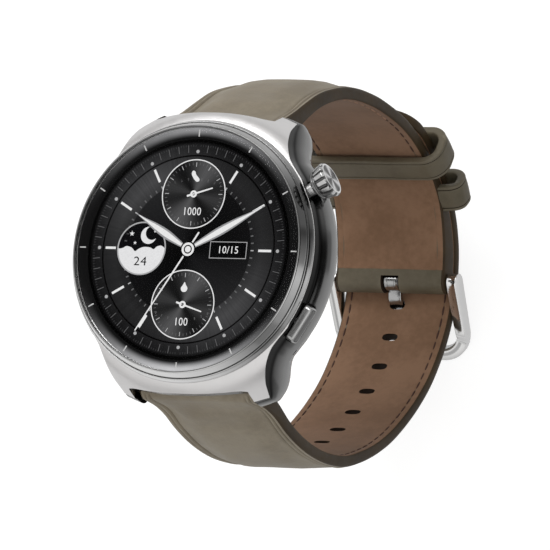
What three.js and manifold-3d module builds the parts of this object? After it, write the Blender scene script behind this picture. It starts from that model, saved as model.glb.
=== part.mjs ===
// Round smartwatch on a two-piece leather strap with a tang buckle.
// Millimetres. +Z is the dial normal, +Y is 12 o'clock, +X is 3 o'clock (crown side).
// The origin is the middle of the flat wrist side face of the sensor window.
import * as THREE from 'three';
import { mergeVertices } from 'three/addons/utils/BufferGeometryUtils.js';
import Module from 'manifold-3d';

const wasm = await Module();
wasm.setup();

// ---------- driving dimensions ----------
const Z_DIAL = 11.2;            // underside of the glass
const Z_GLASS_TOP = 12.3;
const R_GLASS = 21.2;
const R_BEZEL = 22.9;           // outer edge of the polished bezel ring
const Z_CASE_TOP = 8.9;         // satin shoulder at the bezel ring
const R_CASE = 24.6;            // widest radius of the case band
const Z_SEAT = 8.5;             // floor of the recess the bezel ring drops into
const R_CAVITY = 19.6;          // movement cavity
const R_BACK = 18.6;            // opening for the rear cover
const LUG_IN = 11.4;            // half the gap between the lugs
const LUG_OUT = 14.8;           // outer face of a lug
const LUG_Y = 24.8;             // lug tip
const BAR_Y = 22.7;             // spring bar axis
const BAR_Z = 0.8;
const CROWN_ANGLE = 29.4;       // degrees from +X towards +Y
const CROWN_Z = 7.1;
const BUTTON_ANGLE = -29.5;
const BUTTON_Z = 6.6;
const STRAP_W_LUG = 22.0;
const STRAP_W_BUCKLE = 21.3;
const LINING_T = 0.8;           // lining leather
const TAIL_HALF = 1.0;          // half thickness of the long strap's tail
const LAP_GAP = 0.35;           // gap between the tail and the short strap
const BUCKLE = [9.5, -70.4];    // buckle bar axis [y, z]
const BUCKLE_BAR_R = 0.9;

// Surface of each material: [colour, roughness, metalness]
const FINISHES = {
  case: [0xb9bbbd, 0.28, 1.0],
  bezel: [0xd8d9da, 0.1, 1.0],
  crystalGasket: [0x141414, 0.7, 0],
  crystal: [0xdfe4e6, 0.03, 0],
  chapterRing: [0x2a2b2c, 0.3, 0.5],
  display: [0x0b0b0c, 0.2, 0],
  chassis: [0x202224, 0.6, 0],
  circuitBoard: [0x1d3b2a, 0.5, 0.1],
  shield: [0xb0b2b4, 0.35, 0.9],
  battery: [0x3c4248, 0.5, 0.2],
  hapticHousing: [0xa9abad, 0.35, 0.9],
  hapticMass: [0x6c6e70, 0.4, 0.9],
  speaker: [0x17181a, 0.6, 0],
  microphone: [0xb0a070, 0.4, 0.8],
  coil: [0xa0663c, 0.45, 0.7],
  rearGasket: [0x121212, 0.8, 0],
  rearCover: [0x17181a, 0.35, 0.1],
  sensorWindow: [0x0c0d10, 0.08, 0],
  screw: [0x8f9193, 0.3, 1.0],
  crownTube: [0x9b9da0, 0.3, 1.0],
  seal: [0x101010, 0.8, 0],
  switch: [0x8a8c8e, 0.4, 0.6],
  plunger: [0xc9c9c2, 0.4, 0.2],
  crownCap: [0xb4b6b8, 0.22, 1.0],
  crownStem: [0xa8aaac, 0.3, 1.0],
  button: [0xd0d1d2, 0.35, 1.0],
  leather: [0x7d7765, 0.55, 0],
  lining: [0x84614b, 0.75, 0],
  springBar: [0xa6a8aa, 0.3, 1.0],
  keeper: [0x6d6757, 0.5, 0],
  buckle: [0xc6c8ca, 0.12, 1.0],
  buckleBar: [0xb0b2b4, 0.25, 1.0],
};

// ---------- solids and meshes ----------
const root = new THREE.Group();
const rad = THREE.MathUtils.degToRad;

// Welds a geometry, drops collapsed triangles and turns it right side out.
function toSolid(source) {
  source.deleteAttribute('normal');
  source.deleteAttribute('uv');
  const geometry = mergeVertices(source, 1e-4);
  const index = geometry.index.array;
  const positions = geometry.attributes.position.array;
  const vertex = (i) => new THREE.Vector3().fromArray(positions, 3 * i);
  const triangles = [];
  let volume = 0;
  for (let i = 0; i < index.length; i += 3) {
    const [a, b, c] = index.slice(i, i + 3);
    if (a === b || b === c || c === a) continue;
    triangles.push(a, b, c);
    volume += vertex(a).dot(vertex(b).cross(vertex(c)));
  }
  if (volume < 0) {
    for (let i = 0; i < triangles.length; i += 3) {
      [triangles[i], triangles[i + 1]] = [triangles[i + 1], triangles[i]];
    }
  }
  return new wasm.Manifold(new wasm.Mesh({
    numProp: 3,
    vertProperties: new Float32Array(positions),
    triVerts: new Uint32Array(triangles),
  }));
}

function geometryOf(solid) {
  const mesh = solid.getMesh();
  const geometry = new THREE.BufferGeometry();
  const positions = new Float32Array(mesh.vertProperties);
  geometry.setAttribute('position', new THREE.BufferAttribute(positions, 3));
  geometry.setIndex(new THREE.BufferAttribute(new Uint32Array(mesh.triVerts), 1));
  geometry.computeVertexNormals();
  return geometry;
}

function addPiece(name, finish, solid) {
  const [color, roughness, metalness] = FINISHES[finish];
  const material = new THREE.MeshStandardMaterial({ color, roughness, metalness });
  const mesh = new THREE.Mesh(geometryOf(solid), material);
  mesh.name = name;
  root.add(mesh);
}

const union = (...solids) => solids.reduce((sum, next) => sum.add(next));
const cut = (solid, ...tools) => tools.reduce((rest, tool) => rest.subtract(tool), solid);

function reshape(solid, change) {
  const geometry = geometryOf(solid);
  change(geometry);
  return toSolid(geometry);
}
const moveXY = (solid, x, y) => reshape(solid, (geometry) => geometry.translate(x, y, 0));

// Lays a solid built along +Z outward along the radius at an angle and height;
// its local X becomes -Z.
function alongRadius(solid, angle, z) {
  return reshape(solid, (geometry) => {
    geometry.rotateY(Math.PI / 2);
    geometry.rotateZ(rad(angle));
    geometry.translate(0, 0, z);
  });
}
const onCrown = (solid) => alongRadius(solid, CROWN_ANGLE, CROWN_Z);
const onButton = (solid) => alongRadius(solid, BUTTON_ANGLE, BUTTON_Z);

// Turns a solid about X so its local Y follows a [y, z] direction, then moves it to a point.
function pose(solid, [dirY, dirZ], point) {
  const basis = new THREE.Matrix4().makeBasis(new THREE.Vector3(1, 0, 0),
    new THREE.Vector3(0, dirY, dirZ), new THREE.Vector3(0, -dirZ, dirY));
  return reshape(solid, (geometry) => {
    geometry.applyMatrix4(basis);
    geometry.translate(0, point.y, point.z);
  });
}

// ---------- primitive shapes ----------
// Closed profile [[radius, z], ...] turned about Z; it may start and end on the axis.
function lathe(profile, segments) {
  const points = profile.map(([radius, z]) => new THREE.Vector2(radius, z));
  const onAxis = profile[0][0] === 0 && profile.at(-1)[0] === 0;
  if (!onAxis) points.push(points[0].clone());
  const geometry = new THREE.LatheGeometry(points, segments);
  geometry.rotateX(Math.PI / 2);
  return toSolid(geometry);
}
const ring = (inner, outer, z0, z1, segments) =>
  lathe([[inner, z0], [outer, z0], [outer, z1], [inner, z1]], segments);
const disc = (radius, z0, z1, segments) => ring(0, radius, z0, z1, segments);

function extrude(points, from, to, holes = []) {
  const vectors = (list) => list.map(([a, b]) => new THREE.Vector2(a, b));
  const shape = new THREE.Shape(vectors(points));
  shape.holes = holes.map((hole) => new THREE.Path(vectors(hole)));
  const geometry = new THREE.ExtrudeGeometry(shape, { depth: to - from, bevelEnabled: false });
  return geometry.translate(0, 0, from);
}

// Carries (x, y, z) of an extrusion to (Y, Z, X).
const TO_X = new THREE.Matrix4().makeBasis(
  new THREE.Vector3(0, 1, 0), new THREE.Vector3(0, 0, 1), new THREE.Vector3(1, 0, 0));

// Polygon in (X, Y) raised along Z, and polygon in (Y, Z) raised along X
const prismZ = (points, z0, z1) => toSolid(extrude(points, z0, z1));
const prismX = (points, x0, x1) => toSolid(extrude(points, x0, x1).applyMatrix4(TO_X));

function box(x0, x1, y0, y1, z0, z1) {
  const geometry = new THREE.BoxGeometry(x1 - x0, y1 - y0, z1 - z0);
  geometry.translate((x0 + x1) / 2, (y0 + y1) / 2, (z0 + z1) / 2);
  return toSolid(geometry);
}

const polar = (radius, angle, centre = [0, 0]) =>
  [centre[0] + radius * Math.cos(angle), centre[1] + radius * Math.sin(angle)];
const circle = (centre, radius, count) => Array.from({ length: count },
  (_, i) => polar(radius, (i + 0.5) / count * 2 * Math.PI, centre));
// Round rod along X about a [y, z] centre
const rodX = (centre, radius, segments, x0, x1) =>
  prismX(circle(centre, radius, segments), x0, x1);

function roundRect(width, height, radius, steps = 4) {
  const points = [];
  for (const [sideX, sideY, start] of [[1, 1, 0], [-1, 1, 90], [-1, -1, 180], [1, -1, 270]]) {
    const corner = [sideX * (width / 2 - radius), sideY * (height / 2 - radius)];
    for (let i = 0; i <= steps; i++) {
      points.push(polar(radius, rad(start + 90 * i / steps), corner));
    }
  }
  return points;
}

const mirror = (points, side) => points.map(([a, b]) => [side * a, b]);
// X range between two distances from the middle, on the +X or the -X side
const sideSpan = (side, near, far) => (side > 0 ? [near, far] : [-far, -near]);

// ---------- spring bar positions ----------
const barAxis = (side) => [side * BAR_Y, BAR_Z];
// Prism along X from [y, z] offsets to the bar axis, mirrored for the -Y bar
const barPrism = (side, offsets, x0, x1) =>
  prismX(offsets.map(([dy, dz]) => [side * (BAR_Y + dy), BAR_Z + dz]), x0, x1);

// ---------- case ----------
const BUTTON_LENGTH = 7.0;
const BUTTON_HEIGHT = 2.6;
const BUTTON_CLEARANCE = 0.3;   // across the whole pocket
const LUG_START_Y = 16.5;
// Turned body the lugs are taken from: [radius, z]
const LUG_PROFILE = [
  [0, 1.2], [21.4, 1.2], [23.2, 0.2], [24.6, -1.0], [26.2, -1.7], [27.6, -2.0], [27.9, -0.5],
  [27.6, 1.9], [27.0, 3.6], [26.2, 5.6], [25.2, 7.2], [24.2, 8.2],
  [R_BEZEL, Z_CASE_TOP], [0, Z_CASE_TOP]];
// Rounded band under the shoulder, everything except the lugs: [radius, z]
const BAND_PROFILE = [
  [0, 1.2], [21.8, 1.2], [23.4, 1.7], [24.3, 2.7], [R_CASE, 3.9], [24.5, 5.4], [24.1, 6.9],
  [23.6, 8.0], [R_BEZEL, Z_CASE_TOP], [0, Z_CASE_TOP]];
// Plan of one lug and the case edge beside it, from the flank to near 12 o'clock: [x, y]
const LUG_PLAN = [
  [18.7, 15.7], [17.4, 16.9], [16.6, 18.6], [16.2, 20.4], [15.7, 22.0], [LUG_OUT, 23.2],
  [13.3, 24.2], [LUG_IN, LUG_Y], [LUG_IN, 23.6], [9.6, 23.75], [6.5, 24.15], [3.3, 24.45]];
const PLAN_END_Y = 24.52;       // case edge at 12 and 6 o'clock
// Undercut between the lugs beyond the bar: [y, z]
const LUG_SLOT = [[21.9, 1.0], [27, -6], [27, 4.6], [25.8, 6.6], [24.2, 5.2], [23.3, 3.2]];
// Speaker and microphone ports in the -X flank: [radius, segments, angle]
const PORTS = [[0.45, 10, 176], [0.45, 10, 184], [0.3, 8, 150]];
const PORT_Z = 5.6;

function casePlan() {
  const quarter = [[R_CASE, 0]];
  for (let angle = 5; angle <= 35; angle += 5) quarter.push(polar(R_CASE, rad(angle)));
  quarter.push(...LUG_PLAN);
  const lower = quarter.slice(1).map(([x, y]) => [x, -y]);
  return [...quarter, [0, PLAN_END_Y], ...mirror(quarter, -1).reverse(),
    ...mirror(lower, -1), [0, -PLAN_END_Y], ...lower.reverse()];
}

function lugs() {
  const zone = [[LUG_START_Y, -4], [LUG_START_Y, 12], [30, 12], [30, -4]];
  const zones = union(prismX(zone, -40, 40), prismX(mirror(zone, -1), -40, 40));
  return lathe(LUG_PROFILE, 48).intersect(prismZ(casePlan(), -4, 12)).intersect(zones);
}

// Room for the strap end, and a blind hole for each bar end
const lugCuts = (side) => [
  rodX(barAxis(side), 2.9, 28, -LUG_IN, LUG_IN),
  prismX(mirror(LUG_SLOT, side), -LUG_IN, LUG_IN),
  ...[1, -1].map((end) => rodX(barAxis(side), 0.65, 12, ...sideSpan(end, 11, 12.6)))];

const buttonPocket = prismZ(
  roundRect(BUTTON_HEIGHT + BUTTON_CLEARANCE, BUTTON_LENGTH + BUTTON_CLEARANCE, 0.7), 22.6, 30);
addPiece('case_body', 'case', cut(union(lathe(BAND_PROFILE, 48), lugs()),
  // stepped bore from the rear opening up to the bezel recess
  disc(R_BACK, 0, 2.4, 36), disc(17.9, 2, 4, 36),
  disc(R_CAVITY, 3.4, 12, 36), disc(22.4, Z_SEAT, 12, 48),
  ...lugCuts(1), ...lugCuts(-1),
  // pocket and bore for the crown, then for the button
  onCrown(disc(3.25, 24.0, 30, 28)), onCrown(disc(1.22, 17, 30, 20)),
  onButton(buttonPocket), onButton(disc(0.95, 17, 30, 16)),
  ...PORTS.map(([radius, segments, angle]) =>
    alongRadius(disc(radius, 17, 30, segments), angle, PORT_Z))));

// ---------- bezel, glass and display ----------
const R_BEZEL_BORE = R_GLASS + 0.12;
addPiece('bezel_ring', 'bezel', lathe([
  [20.4, Z_SEAT + 0.05], [22.3, Z_SEAT + 0.05], [22.3, 8.95], [R_BEZEL, 8.95], [R_BEZEL, 9.3],
  [22.5, 10.3], [22.15, 10.5], [21.65, 11.9],
  [R_BEZEL_BORE, 12.1], [R_BEZEL_BORE, 11.0], [20.4, 11.0]], 48));
addPiece('crystal_gasket', 'crystalGasket', ring(20.5, R_GLASS, 11.03, Z_DIAL - 0.03, 36));
addPiece('crystal', 'crystal', lathe([
  [0, Z_DIAL], [R_GLASS, Z_DIAL], [R_GLASS, 11.85], [20.75, Z_GLASS_TOP], [0, Z_GLASS_TOP]], 48));
const Z_DISPLAY_TOP = Z_DIAL - 0.05;
addPiece('chapter_ring', 'chapterRing', ring(19.25, 20.2, 10.5, Z_DISPLAY_TOP, 36));
addPiece('display_panel', 'display', disc(19.1, 10.45, Z_DISPLAY_TOP, 36));

// ---------- inside the case ----------
const SCREW_CIRCLE_R = 17.0;
const SCREW_CLEAR_R = 0.62;
const SCREWS = [45, 135, 225, 315].map((angle) => polar(SCREW_CIRCLE_R, rad(angle)));
const Z_BOARD_PARTS = 4.55;     // just clear of the main board
const Z_COVER_TOP = 2.12;       // inner face of the rear cover and sensor window

addPiece('inner_chassis', 'chassis', cut(ring(15.8, 19.4, 3.6, 10.3, 36),
  onCrown(disc(1.7, 14, 21, 16)), onButton(disc(1.5, 14, 21, 16)),
  alongRadius(disc(1.2, 14, 21, 10), 180, PORT_Z), alongRadius(disc(0.6, 14, 21, 8), 150, PORT_Z),
  ...SCREWS.map(([x, y]) => moveXY(disc(SCREW_CLEAR_R, 3, 6.6, 12), x, y))));
addPiece('main_board', 'circuitBoard',
  cut(disc(15.5, 3.7, 4.5, 32), box(-6, 6, -16, -13.2, 3, 5)));
addPiece('shield_can', 'shield', box(-8, 4, 2, 11, Z_BOARD_PARTS, 5.75));
addPiece('battery', 'battery', prismZ(roundRect(21, 21.5, 2.4), 6.1, 10.1));
addPiece('haptic_housing', 'hapticHousing', cut(
  box(-5.4, 5.4, -11.6, -7.4, Z_BOARD_PARTS, 5.95), box(-5.0, 5.0, -11.2, -7.8, 4.8, 7)));
addPiece('haptic_mass', 'hapticMass', box(-4.4, 4.4, -11.0, -8.0, 4.85, 5.85));
addPiece('speaker_module', 'speaker', box(-15.0, -10.9, -4.0, 4.0, 4.6, 9.2));
addPiece('microphone', 'microphone', box(-13.6, -11.3, 6.4, 8.2, 4.6, 5.7));
addPiece('sensor_board', 'circuitBoard', cut(disc(11.0, 2.2, 2.9, 36), disc(1.2, 2, 3, 12)));
addPiece('charging_coil', 'coil', ring(11.6, 15.4, 2.3, 3.1, 32));
addPiece('rear_gasket', 'rearGasket', ring(17.98, 18.45, 2.17, 2.36, 36));
addPiece('rear_cover', 'rearCover', cut(
  lathe([[12.65, 0.35], [14.5, 0.5], [16.8, 0.8], [18.45, 1.2],
    [18.45, Z_COVER_TOP], [12.65, Z_COVER_TOP]], 36),
  // countersunk screw holes
  ...SCREWS.map(([x, y]) =>
    moveXY(union(disc(1.05, 0, 1.55, 16), disc(SCREW_CLEAR_R, 0, 3, 12)), x, y))));
addPiece('sensor_window', 'sensorWindow', lathe([
  [0, 0], [10.5, 0], [12.5, 0.35], [12.5, Z_COVER_TOP], [0, Z_COVER_TOP]], 36));

// Head, shank and driver slot
function rearScrew() {
  const slot = [[-0.12, -0.6], [0.12, -0.6], [0.12, 0.6], [-0.12, 0.6]];
  return cut(union(disc(0.95, 0.9, 1.5, 16), disc(0.55, 1.4, 6.2, 12)), prismZ(slot, 0.5, 1.15));
}
SCREWS.forEach(([x, y], i) =>
  addPiece('rear_screw_' + (i + 1), 'screw', moveXY(rearScrew(), x, y)));

// ---------- crown: distances are radial from the case axis ----------
const CROWN_BASE = 25.1;
const CROWN_GRIP_END = 27.2;
const CROWN_END = 27.6;
const CROWN_BASE_R = 2.55;
const CROWN_FLARE = 0.5;        // radius gained from base to grip end
const CROWN_TEETH = 14;
// Outline of one tooth and gap: [fraction of the pitch, relative radius]
const TOOTH = [[0.05, 1], [0.45, 1], [0.6, 0.91], [0.9, 0.91]];

function crownGrip() {
  const pitch = 2 * Math.PI / CROWN_TEETH;
  const outline = [];
  for (let i = 0; i < CROWN_TEETH; i++) {
    for (const [fraction, radius] of TOOTH) outline.push(polar(radius, pitch * (i + fraction)));
  }
  return reshape(prismZ(outline, CROWN_BASE, CROWN_GRIP_END), (geometry) => {
    const position = geometry.attributes.position;
    for (let i = 0; i < position.count; i++) {
      const rise = (position.getZ(i) - CROWN_BASE) / (CROWN_GRIP_END - CROWN_BASE);
      const scale = CROWN_BASE_R + CROWN_FLARE * rise;
      position.setXY(i, position.getX(i) * scale, position.getY(i) * scale);
    }
  });
}
const crownCore = () => lathe([
  [0, 24.5], [1.95, 24.5], [1.95, 25.3], [2.6, 27.1], [2.95, 27.15], [2.95, 27.35],
  [2.65, CROWN_END], [0, CROWN_END]], 32);
const switchPad = (start) => prismZ(roundRect(1.7, 2.6, 0.2, 1), start, start + 0.6);

addPiece('crown_tube', 'crownTube', onCrown(ring(0.84, 1.15, 18.0, 23.9, 20)));
addPiece('crown_seal', 'seal', onCrown(ring(0.62, 0.82, 20.0, 20.6, 20)));
addPiece('crown_switch', 'switch', onCrown(switchPad(14.0)));
addPiece('crown_plunger', 'plunger', onCrown(disc(0.7, 15.1, 16.6, 16)));
addPiece('crown_cap', 'crownCap', onCrown(union(crownGrip(), crownCore())));
addPiece('crown_stem', 'crownStem', onCrown(disc(0.58, 16.65, 24.45, 16)));

// ---------- lower side button ----------
// Body, stepped outer face and stem
addPiece('button_cap', 'button', onButton(union(
  prismZ(roundRect(BUTTON_HEIGHT, BUTTON_LENGTH, 0.6), 23.2, 24.75),
  prismZ(roundRect(BUTTON_HEIGHT - 0.5, BUTTON_LENGTH - 0.5, 0.5), 24.7, 25.0),
  disc(0.8, 16.6, 23.3, 16))));
addPiece('button_seal', 'seal', onButton(ring(0.82, 0.93, 20.4, 20.9, 16)));
addPiece('button_switch', 'switch', onButton(switchPad(15.4)));

// ---------- strap centre lines ----------
// Stations from spring bar to buckle bar, and from spring bar to the lap:
// [y, z, half thickness]
const SHORT_LINE = [
  [BAR_Y, BAR_Z, 2.0], [25.0, -2.9, 1.75], [28.1, -7.6, 1.4], [30.75, -12.2, 1.25],
  [32.6, -16.8, 1.15], [34.0, -21.6, 1.1], [34.8, -26.6, 1.1], [35.05, -31.8, 1.1],
  [34.98, -36.3, 1.1], [34.022, -44.806, 1.1], [33.08, -48.885, 1.1], [31.717, -52.844, 1.1],
  [29.783, -56.946, 1.1], [27.396, -60.803, 1.1], [23.7, -65.0, 1.3], [19.5, -67.9, 1.8],
  [14.6, -69.75, 2.1], [...BUCKLE, 2.1]];
const LONG_LINE = [
  [-BAR_Y, BAR_Z, 2.0], [-23.3, -3.2, 1.75], [-24.6, -7.6, 1.4], [-26.4, -12.0, 1.2],
  [-27.9, -17.0, 1.1], [-28.8, -22.0, 1.05], [-29.2, -27.0, 1.0], [-29.1, -31.5, 1.0],
  [-28.4, -37.0, 1.0], [-26.9, -42.0, 1.0], [-24.8, -47.3, 1.0], [-21.6, -53.3, 1.0],
  [-17.9, -58.4, 1.0], [-13.9, -62.9, 1.0], [-9.7, -66.7, 1.0], [-5.3, -69.6, 1.0],
  [-0.9, -71.8, 1.0], [3.8, -73.3, 1.0]];
const PATH_STEP = 2.8;
const CURVE_DIVISIONS = 600;
const LAP_START = 49;           // distance along the short strap where the lap begins
const LAP_MIN_Y = 8.6;

// Evenly spaced points on the curve through the stations, with distance from the start
function resample(stations) {
  const controls = stations.map((station) => new THREE.Vector3(...station));
  const fine = new THREE.CatmullRomCurve3(controls, false, 'centripetal')
    .getPoints(CURVE_DIVISIONS);
  const stepTo = (i) => Math.hypot(fine[i].x - fine[i - 1].x, fine[i].y - fine[i - 1].y);
  let total = 0;
  for (let i = 1; i < fine.length; i++) total += stepTo(i);
  const count = Math.round(total / PATH_STEP);
  const spacing = total / count;
  const path = [];
  let along = 0;
  let next = 0;
  fine.forEach((point, i) => {
    if (i) along += stepTo(i);
    if (along >= next - 1e-6 || i === fine.length - 1) {
      if (path.length <= count) path.push({ y: point.x, z: point.y, half: point.z, along });
      next = path.length * spacing;
    }
  });
  return path;
}

// Adds the tangent and the direction away from the wrist to each point.
// Outward is left of travel in (Y, Z) for side 1, right for side -1.
function strapPath(stations, side) {
  const path = resample(stations);
  path.forEach((point, i) => {
    const before = path[Math.max(0, i - 1)];
    const after = path[Math.min(path.length - 1, i + 1)];
    const length = Math.hypot(after.y - before.y, after.z - before.z);
    point.tanY = (after.y - before.y) / length;
    point.tanZ = (after.z - before.z) / length;
    point.outY = side * -point.tanZ;
    point.outZ = side * point.tanY;
  });
  return path;
}
const offset = (point, d) => [point.y + point.outY * d, point.z + point.outZ * d];

function pointAt(path, along) {
  let i = 1;
  while (i < path.length - 1 && path[i].along < along) i++;
  const a = path[i - 1];
  const b = path[i];
  const share = (along - a.along) / (b.along - a.along);
  const point = {};
  for (const key of Object.keys(a)) point[key] = a[key] + (b[key] - a[key]) * share;
  return point;
}

const shortPath = strapPath(SHORT_LINE, 1);
// The tail runs back along the outer face of the short strap.
const lapLine = shortPath.filter((point) => point.along > LAP_START).reverse()
  .map((point) => [...offset(point, point.half + LAP_GAP + TAIL_HALF), TAIL_HALF])
  .filter(([y]) => y > LAP_MIN_Y);
const longPath = strapPath([...LONG_LINE, ...lapLine], -1);
const SHORT_LENGTH = shortPath.at(-1).along;
const LONG_LENGTH = longPath.at(-1).along;

// ---------- strap leather and lining ----------
const TAPER_LENGTH = 60;
const LINING_START = 3;         // path point where the lining begins
const LAYER_GAP = 0.05;         // bond line between leather and lining
const LINING_TRIM = 0.06;       // share of a path step left free at a fold
const ROUND_STEPS = 9;

// Strap width at the path point nearest to (y, z)
function widthAt(path, y, z) {
  let nearest = Infinity;
  let along = 0;
  for (const point of path) {
    const distance = (point.y - y) ** 2 + (point.z - z) ** 2;
    if (distance < nearest) {
      nearest = distance;
      along = point.along;
    }
  }
  return STRAP_W_LUG + (STRAP_W_BUCKLE - STRAP_W_LUG) * Math.min(1, along / TAPER_LENGTH);
}

// Side outline in (Y, Z) spread across X to the local width
function strapBand(path, outline, holes) {
  const geometry = extrude(outline, 0, 1, holes).applyMatrix4(TO_X);
  const position = geometry.attributes.position;
  for (let i = 0; i < position.count; i++) {
    const width = widthAt(path, position.getY(i), position.getZ(i));
    position.setX(i, (position.getX(i) - 0.5) * width);
  }
  return toSolid(geometry);
}

// Half circle about a path end between its two faces, bulging away from the path
function roundEnd(point, from, to) {
  const turn = 2 * Math.PI;
  const angleTo = ([y, z]) => Math.atan2(z - point.z, y - point.y);
  const start = angleTo(from);
  let sweep = angleTo(to) - start;
  while (sweep <= 0) sweep += turn;
  const away = point.along === 0 ? -1 : 1;
  const middle = Math.atan2(away * point.tanZ, away * point.tanY);
  if (((middle - start) % turn + turn) % turn >= sweep) sweep -= turn;
  return Array.from({ length: ROUND_STEPS - 1 }, (_, i) =>
    polar(point.half, start + sweep * (i + 1) / ROUND_STEPS, [point.y, point.z]));
}

// A folded strap also wraps a bar at its far end.
function strapLeather(path, folded) {
  const start = path[0];
  const end = path.at(-1);
  const liningEnd = path.length - (folded ? 2 : 1);
  const outer = path.map((point) => offset(point, point.half));
  const inner = path.map((point) => offset(point, -point.half));
  const bond = path.map((point) => offset(point, LINING_T - point.half));
  const holes = [circle([start.y, start.z], 1.15, 16)];
  const outline = [...outer];
  if (folded) {
    holes.push(circle([end.y, end.z], BUCKLE_BAR_R + 0.12, 16));
    outline.push(...roundEnd(end, outer.at(-1), inner.at(-1)),
      ...inner.slice(liningEnd).reverse());
  }
  outline.push(...bond.slice(LINING_START, liningEnd + 1).reverse(),
    ...inner.slice(0, LINING_START + 1).reverse(), ...roundEnd(start, inner[0], outer[0]));
  return strapBand(path, outline, holes);
}

// The lining stops slightly short of each fold.
function strapLining(path, folded) {
  const lined = path.slice(LINING_START, folded ? -1 : undefined);
  const upper = lined.map((point) => offset(point, LINING_T - point.half - LAYER_GAP));
  const lower = lined.map((point) => offset(point, -point.half));
  const trim = (a, b) => a.map((value, i) => value + (b[i] - value) * LINING_TRIM);
  const last = lined.length - 1;
  for (const face of [upper, lower]) {
    face[0] = trim(face[0], face[1]);
    if (folded) face[last] = trim(face[last], face[last - 1]);
  }
  return strapBand(path, [...upper, ...lower.reverse()]);
}

// Notch for the quick-release lever in a strap end
const leverNotch = (side) =>
  barPrism(side, [[-3.2, -4.4], [0.4, -4.4], [0.2, 0], [-3.2, 0]], 4.6, 8.4);

// Slot for the tang in the fold, relieved on the side away from the wrist
function tangSlot() {
  const [y, z] = BUCKLE;
  const relief = [[y, z], [y + 1.2, z - 3.9], [y + 4.2, z - 3.4], [y + 4.2, z - 0.9]];
  return union(rodX(BUCKLE, 2.6, 20, -1.75, 1.75), prismX(relief, -1.75, 1.75));
}

// Oval adjustment holes; the tang passes through the first.
const HOLE_PITCH = 6.8;
const HOLE_COUNT = 7;
const HOLE_WIDTH = 3.0;         // across the strap
const HOLE_LENGTH = 1.9;        // along the strap
const TANG_Y = 5.58;            // where the tang crosses the strap

function adjustmentHoles() {
  let tangAlong = LONG_LENGTH;
  while (tangAlong > 0 && Math.abs(pointAt(longPath, tangAlong).y - TANG_Y) > 0.02) {
    tangAlong -= 0.01;
  }
  const oval = Array.from({ length: 10 }, (_, i) => {
    const [x, y] = polar(0.5, i / 10 * 2 * Math.PI);
    return [HOLE_WIDTH * x, HOLE_LENGTH * y];
  });
  return Array.from({ length: HOLE_COUNT }, (_, i) => {
    const point = pointAt(longPath, tangAlong - i * HOLE_PITCH);
    return pose(prismZ(oval, -3, 3), [-point.outZ, point.outY], point);
  });
}

// Trims the tail to a rounded tongue: [x, distance past the path end] up to the middle
const TIP_HALF = [
  [-13, 3], [-13, -9.5], [-10.4, -9.5], [-10.2, -7], [-8.6, -3.6], [-5.4, -1.2]];

function tipCut() {
  const tip = longPath.at(-1);
  const outline = [...TIP_HALF, [0, -0.3], ...mirror(TIP_HALF, -1).reverse()];
  return pose(prismZ(outline, -4, 4), [tip.tanY, tip.tanZ], tip);
}

const tailCuts = [...adjustmentHoles(), tipCut()];
addPiece('short_strap_leather', 'leather',
  cut(strapLeather(shortPath, true), leverNotch(1), tangSlot()));
addPiece('short_strap_lining', 'lining', strapLining(shortPath, true));
addPiece('long_strap_leather', 'leather',
  cut(strapLeather(longPath, false), leverNotch(-1), ...tailCuts));
addPiece('long_strap_lining', 'lining', cut(strapLining(longPath, false), ...tailCuts));

// ---------- quick-release spring bars ----------
const PIN_R = 0.5;
const PIN_END = 12.1;

function addSpringBar(side, name) {
  const rod = (radius, segments, x0, x1) => rodX(barAxis(side), radius, segments, x0, x1);
  const leverSlot = barPrism(side, [[-2, -2], [0, -2], [0, 0.42], [-2, 0.42]], 5.0, 8.0);
  const lever = barPrism(side, [[-0.35, -0.2], [-0.1, -2.9], [-0.9, -2.9], [-0.9, -0.2]], 7, 7.8);
  addPiece(name + '_bar_tube', 'springBar', cut(rod(0.9, 16, -10.6, 10.6),
    rod(0.6, 12, 0.5, 11), rod(0.6, 12, -11, -8.6), leverSlot));
  addPiece(name + '_bar_end', 'springBar', rod(PIN_R, 12, -PIN_END, -8.8));
  addPiece(name + '_release_pin', 'springBar', union(rod(PIN_R, 12, 3.2, PIN_END), lever));
}
addSpringBar(1, 'short_strap');
addSpringBar(-1, 'long_strap');

// ---------- keepers: local Y points away from the wrist ----------
const KEEPER_W = 5.0;
const KEEPER_T = 1.5;
const SEWN_HALF = 13.2;         // inside half widths of the two loops
const FREE_HALF = 12.7;
const FOOT_X = 10.98;           // inner end of a sewn foot

// Rounded loop around both strap layers
function keeperLoop(point, halfWidth, bottom) {
  const top = point.half + LAP_GAP + 2 * TAIL_HALF + 0.5;
  const loop = (grow) => roundRect(2 * (halfWidth + grow), top - bottom + 2 * grow, 1.9 + grow)
    .map(([x, y]) => [x, y + (top + bottom) / 2]);
  return cut(prismZ(loop(KEEPER_T), -KEEPER_W / 2, KEEPER_W / 2),
    prismZ(loop(0), -KEEPER_W, KEEPER_W));
}

// Open on the wrist side, with feet that run in to the strap's edges
function fixedKeeper(point) {
  const base = 0.3 - point.half;
  const open = cut(keeperLoop(point, SEWN_HALF, -point.half - 3),
    box(-20, 20, -point.half - 12, base, -KEEPER_W, KEEPER_W));
  return union(open, ...[-1, 1].map((side) => box(
    ...sideSpan(side, FOOT_X, SEWN_HALF + 0.3), base, base + 1.2, -KEEPER_W / 2, KEEPER_W / 2)));
}
const freeKeeper = (point) => keeperLoop(point, FREE_HALF, -(point.half + 0.45));

// Name, builder and distance back from the buckle bar
for (const [name, build, back] of [
  ['fixed_keeper', fixedKeeper, 15.9], ['free_keeper', freeKeeper, 24.9]]) {
  const point = pointAt(shortPath, SHORT_LENGTH - back);
  addPiece(name, 'keeper', pose(build(point), [point.outY, point.outZ], point));
}

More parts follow.
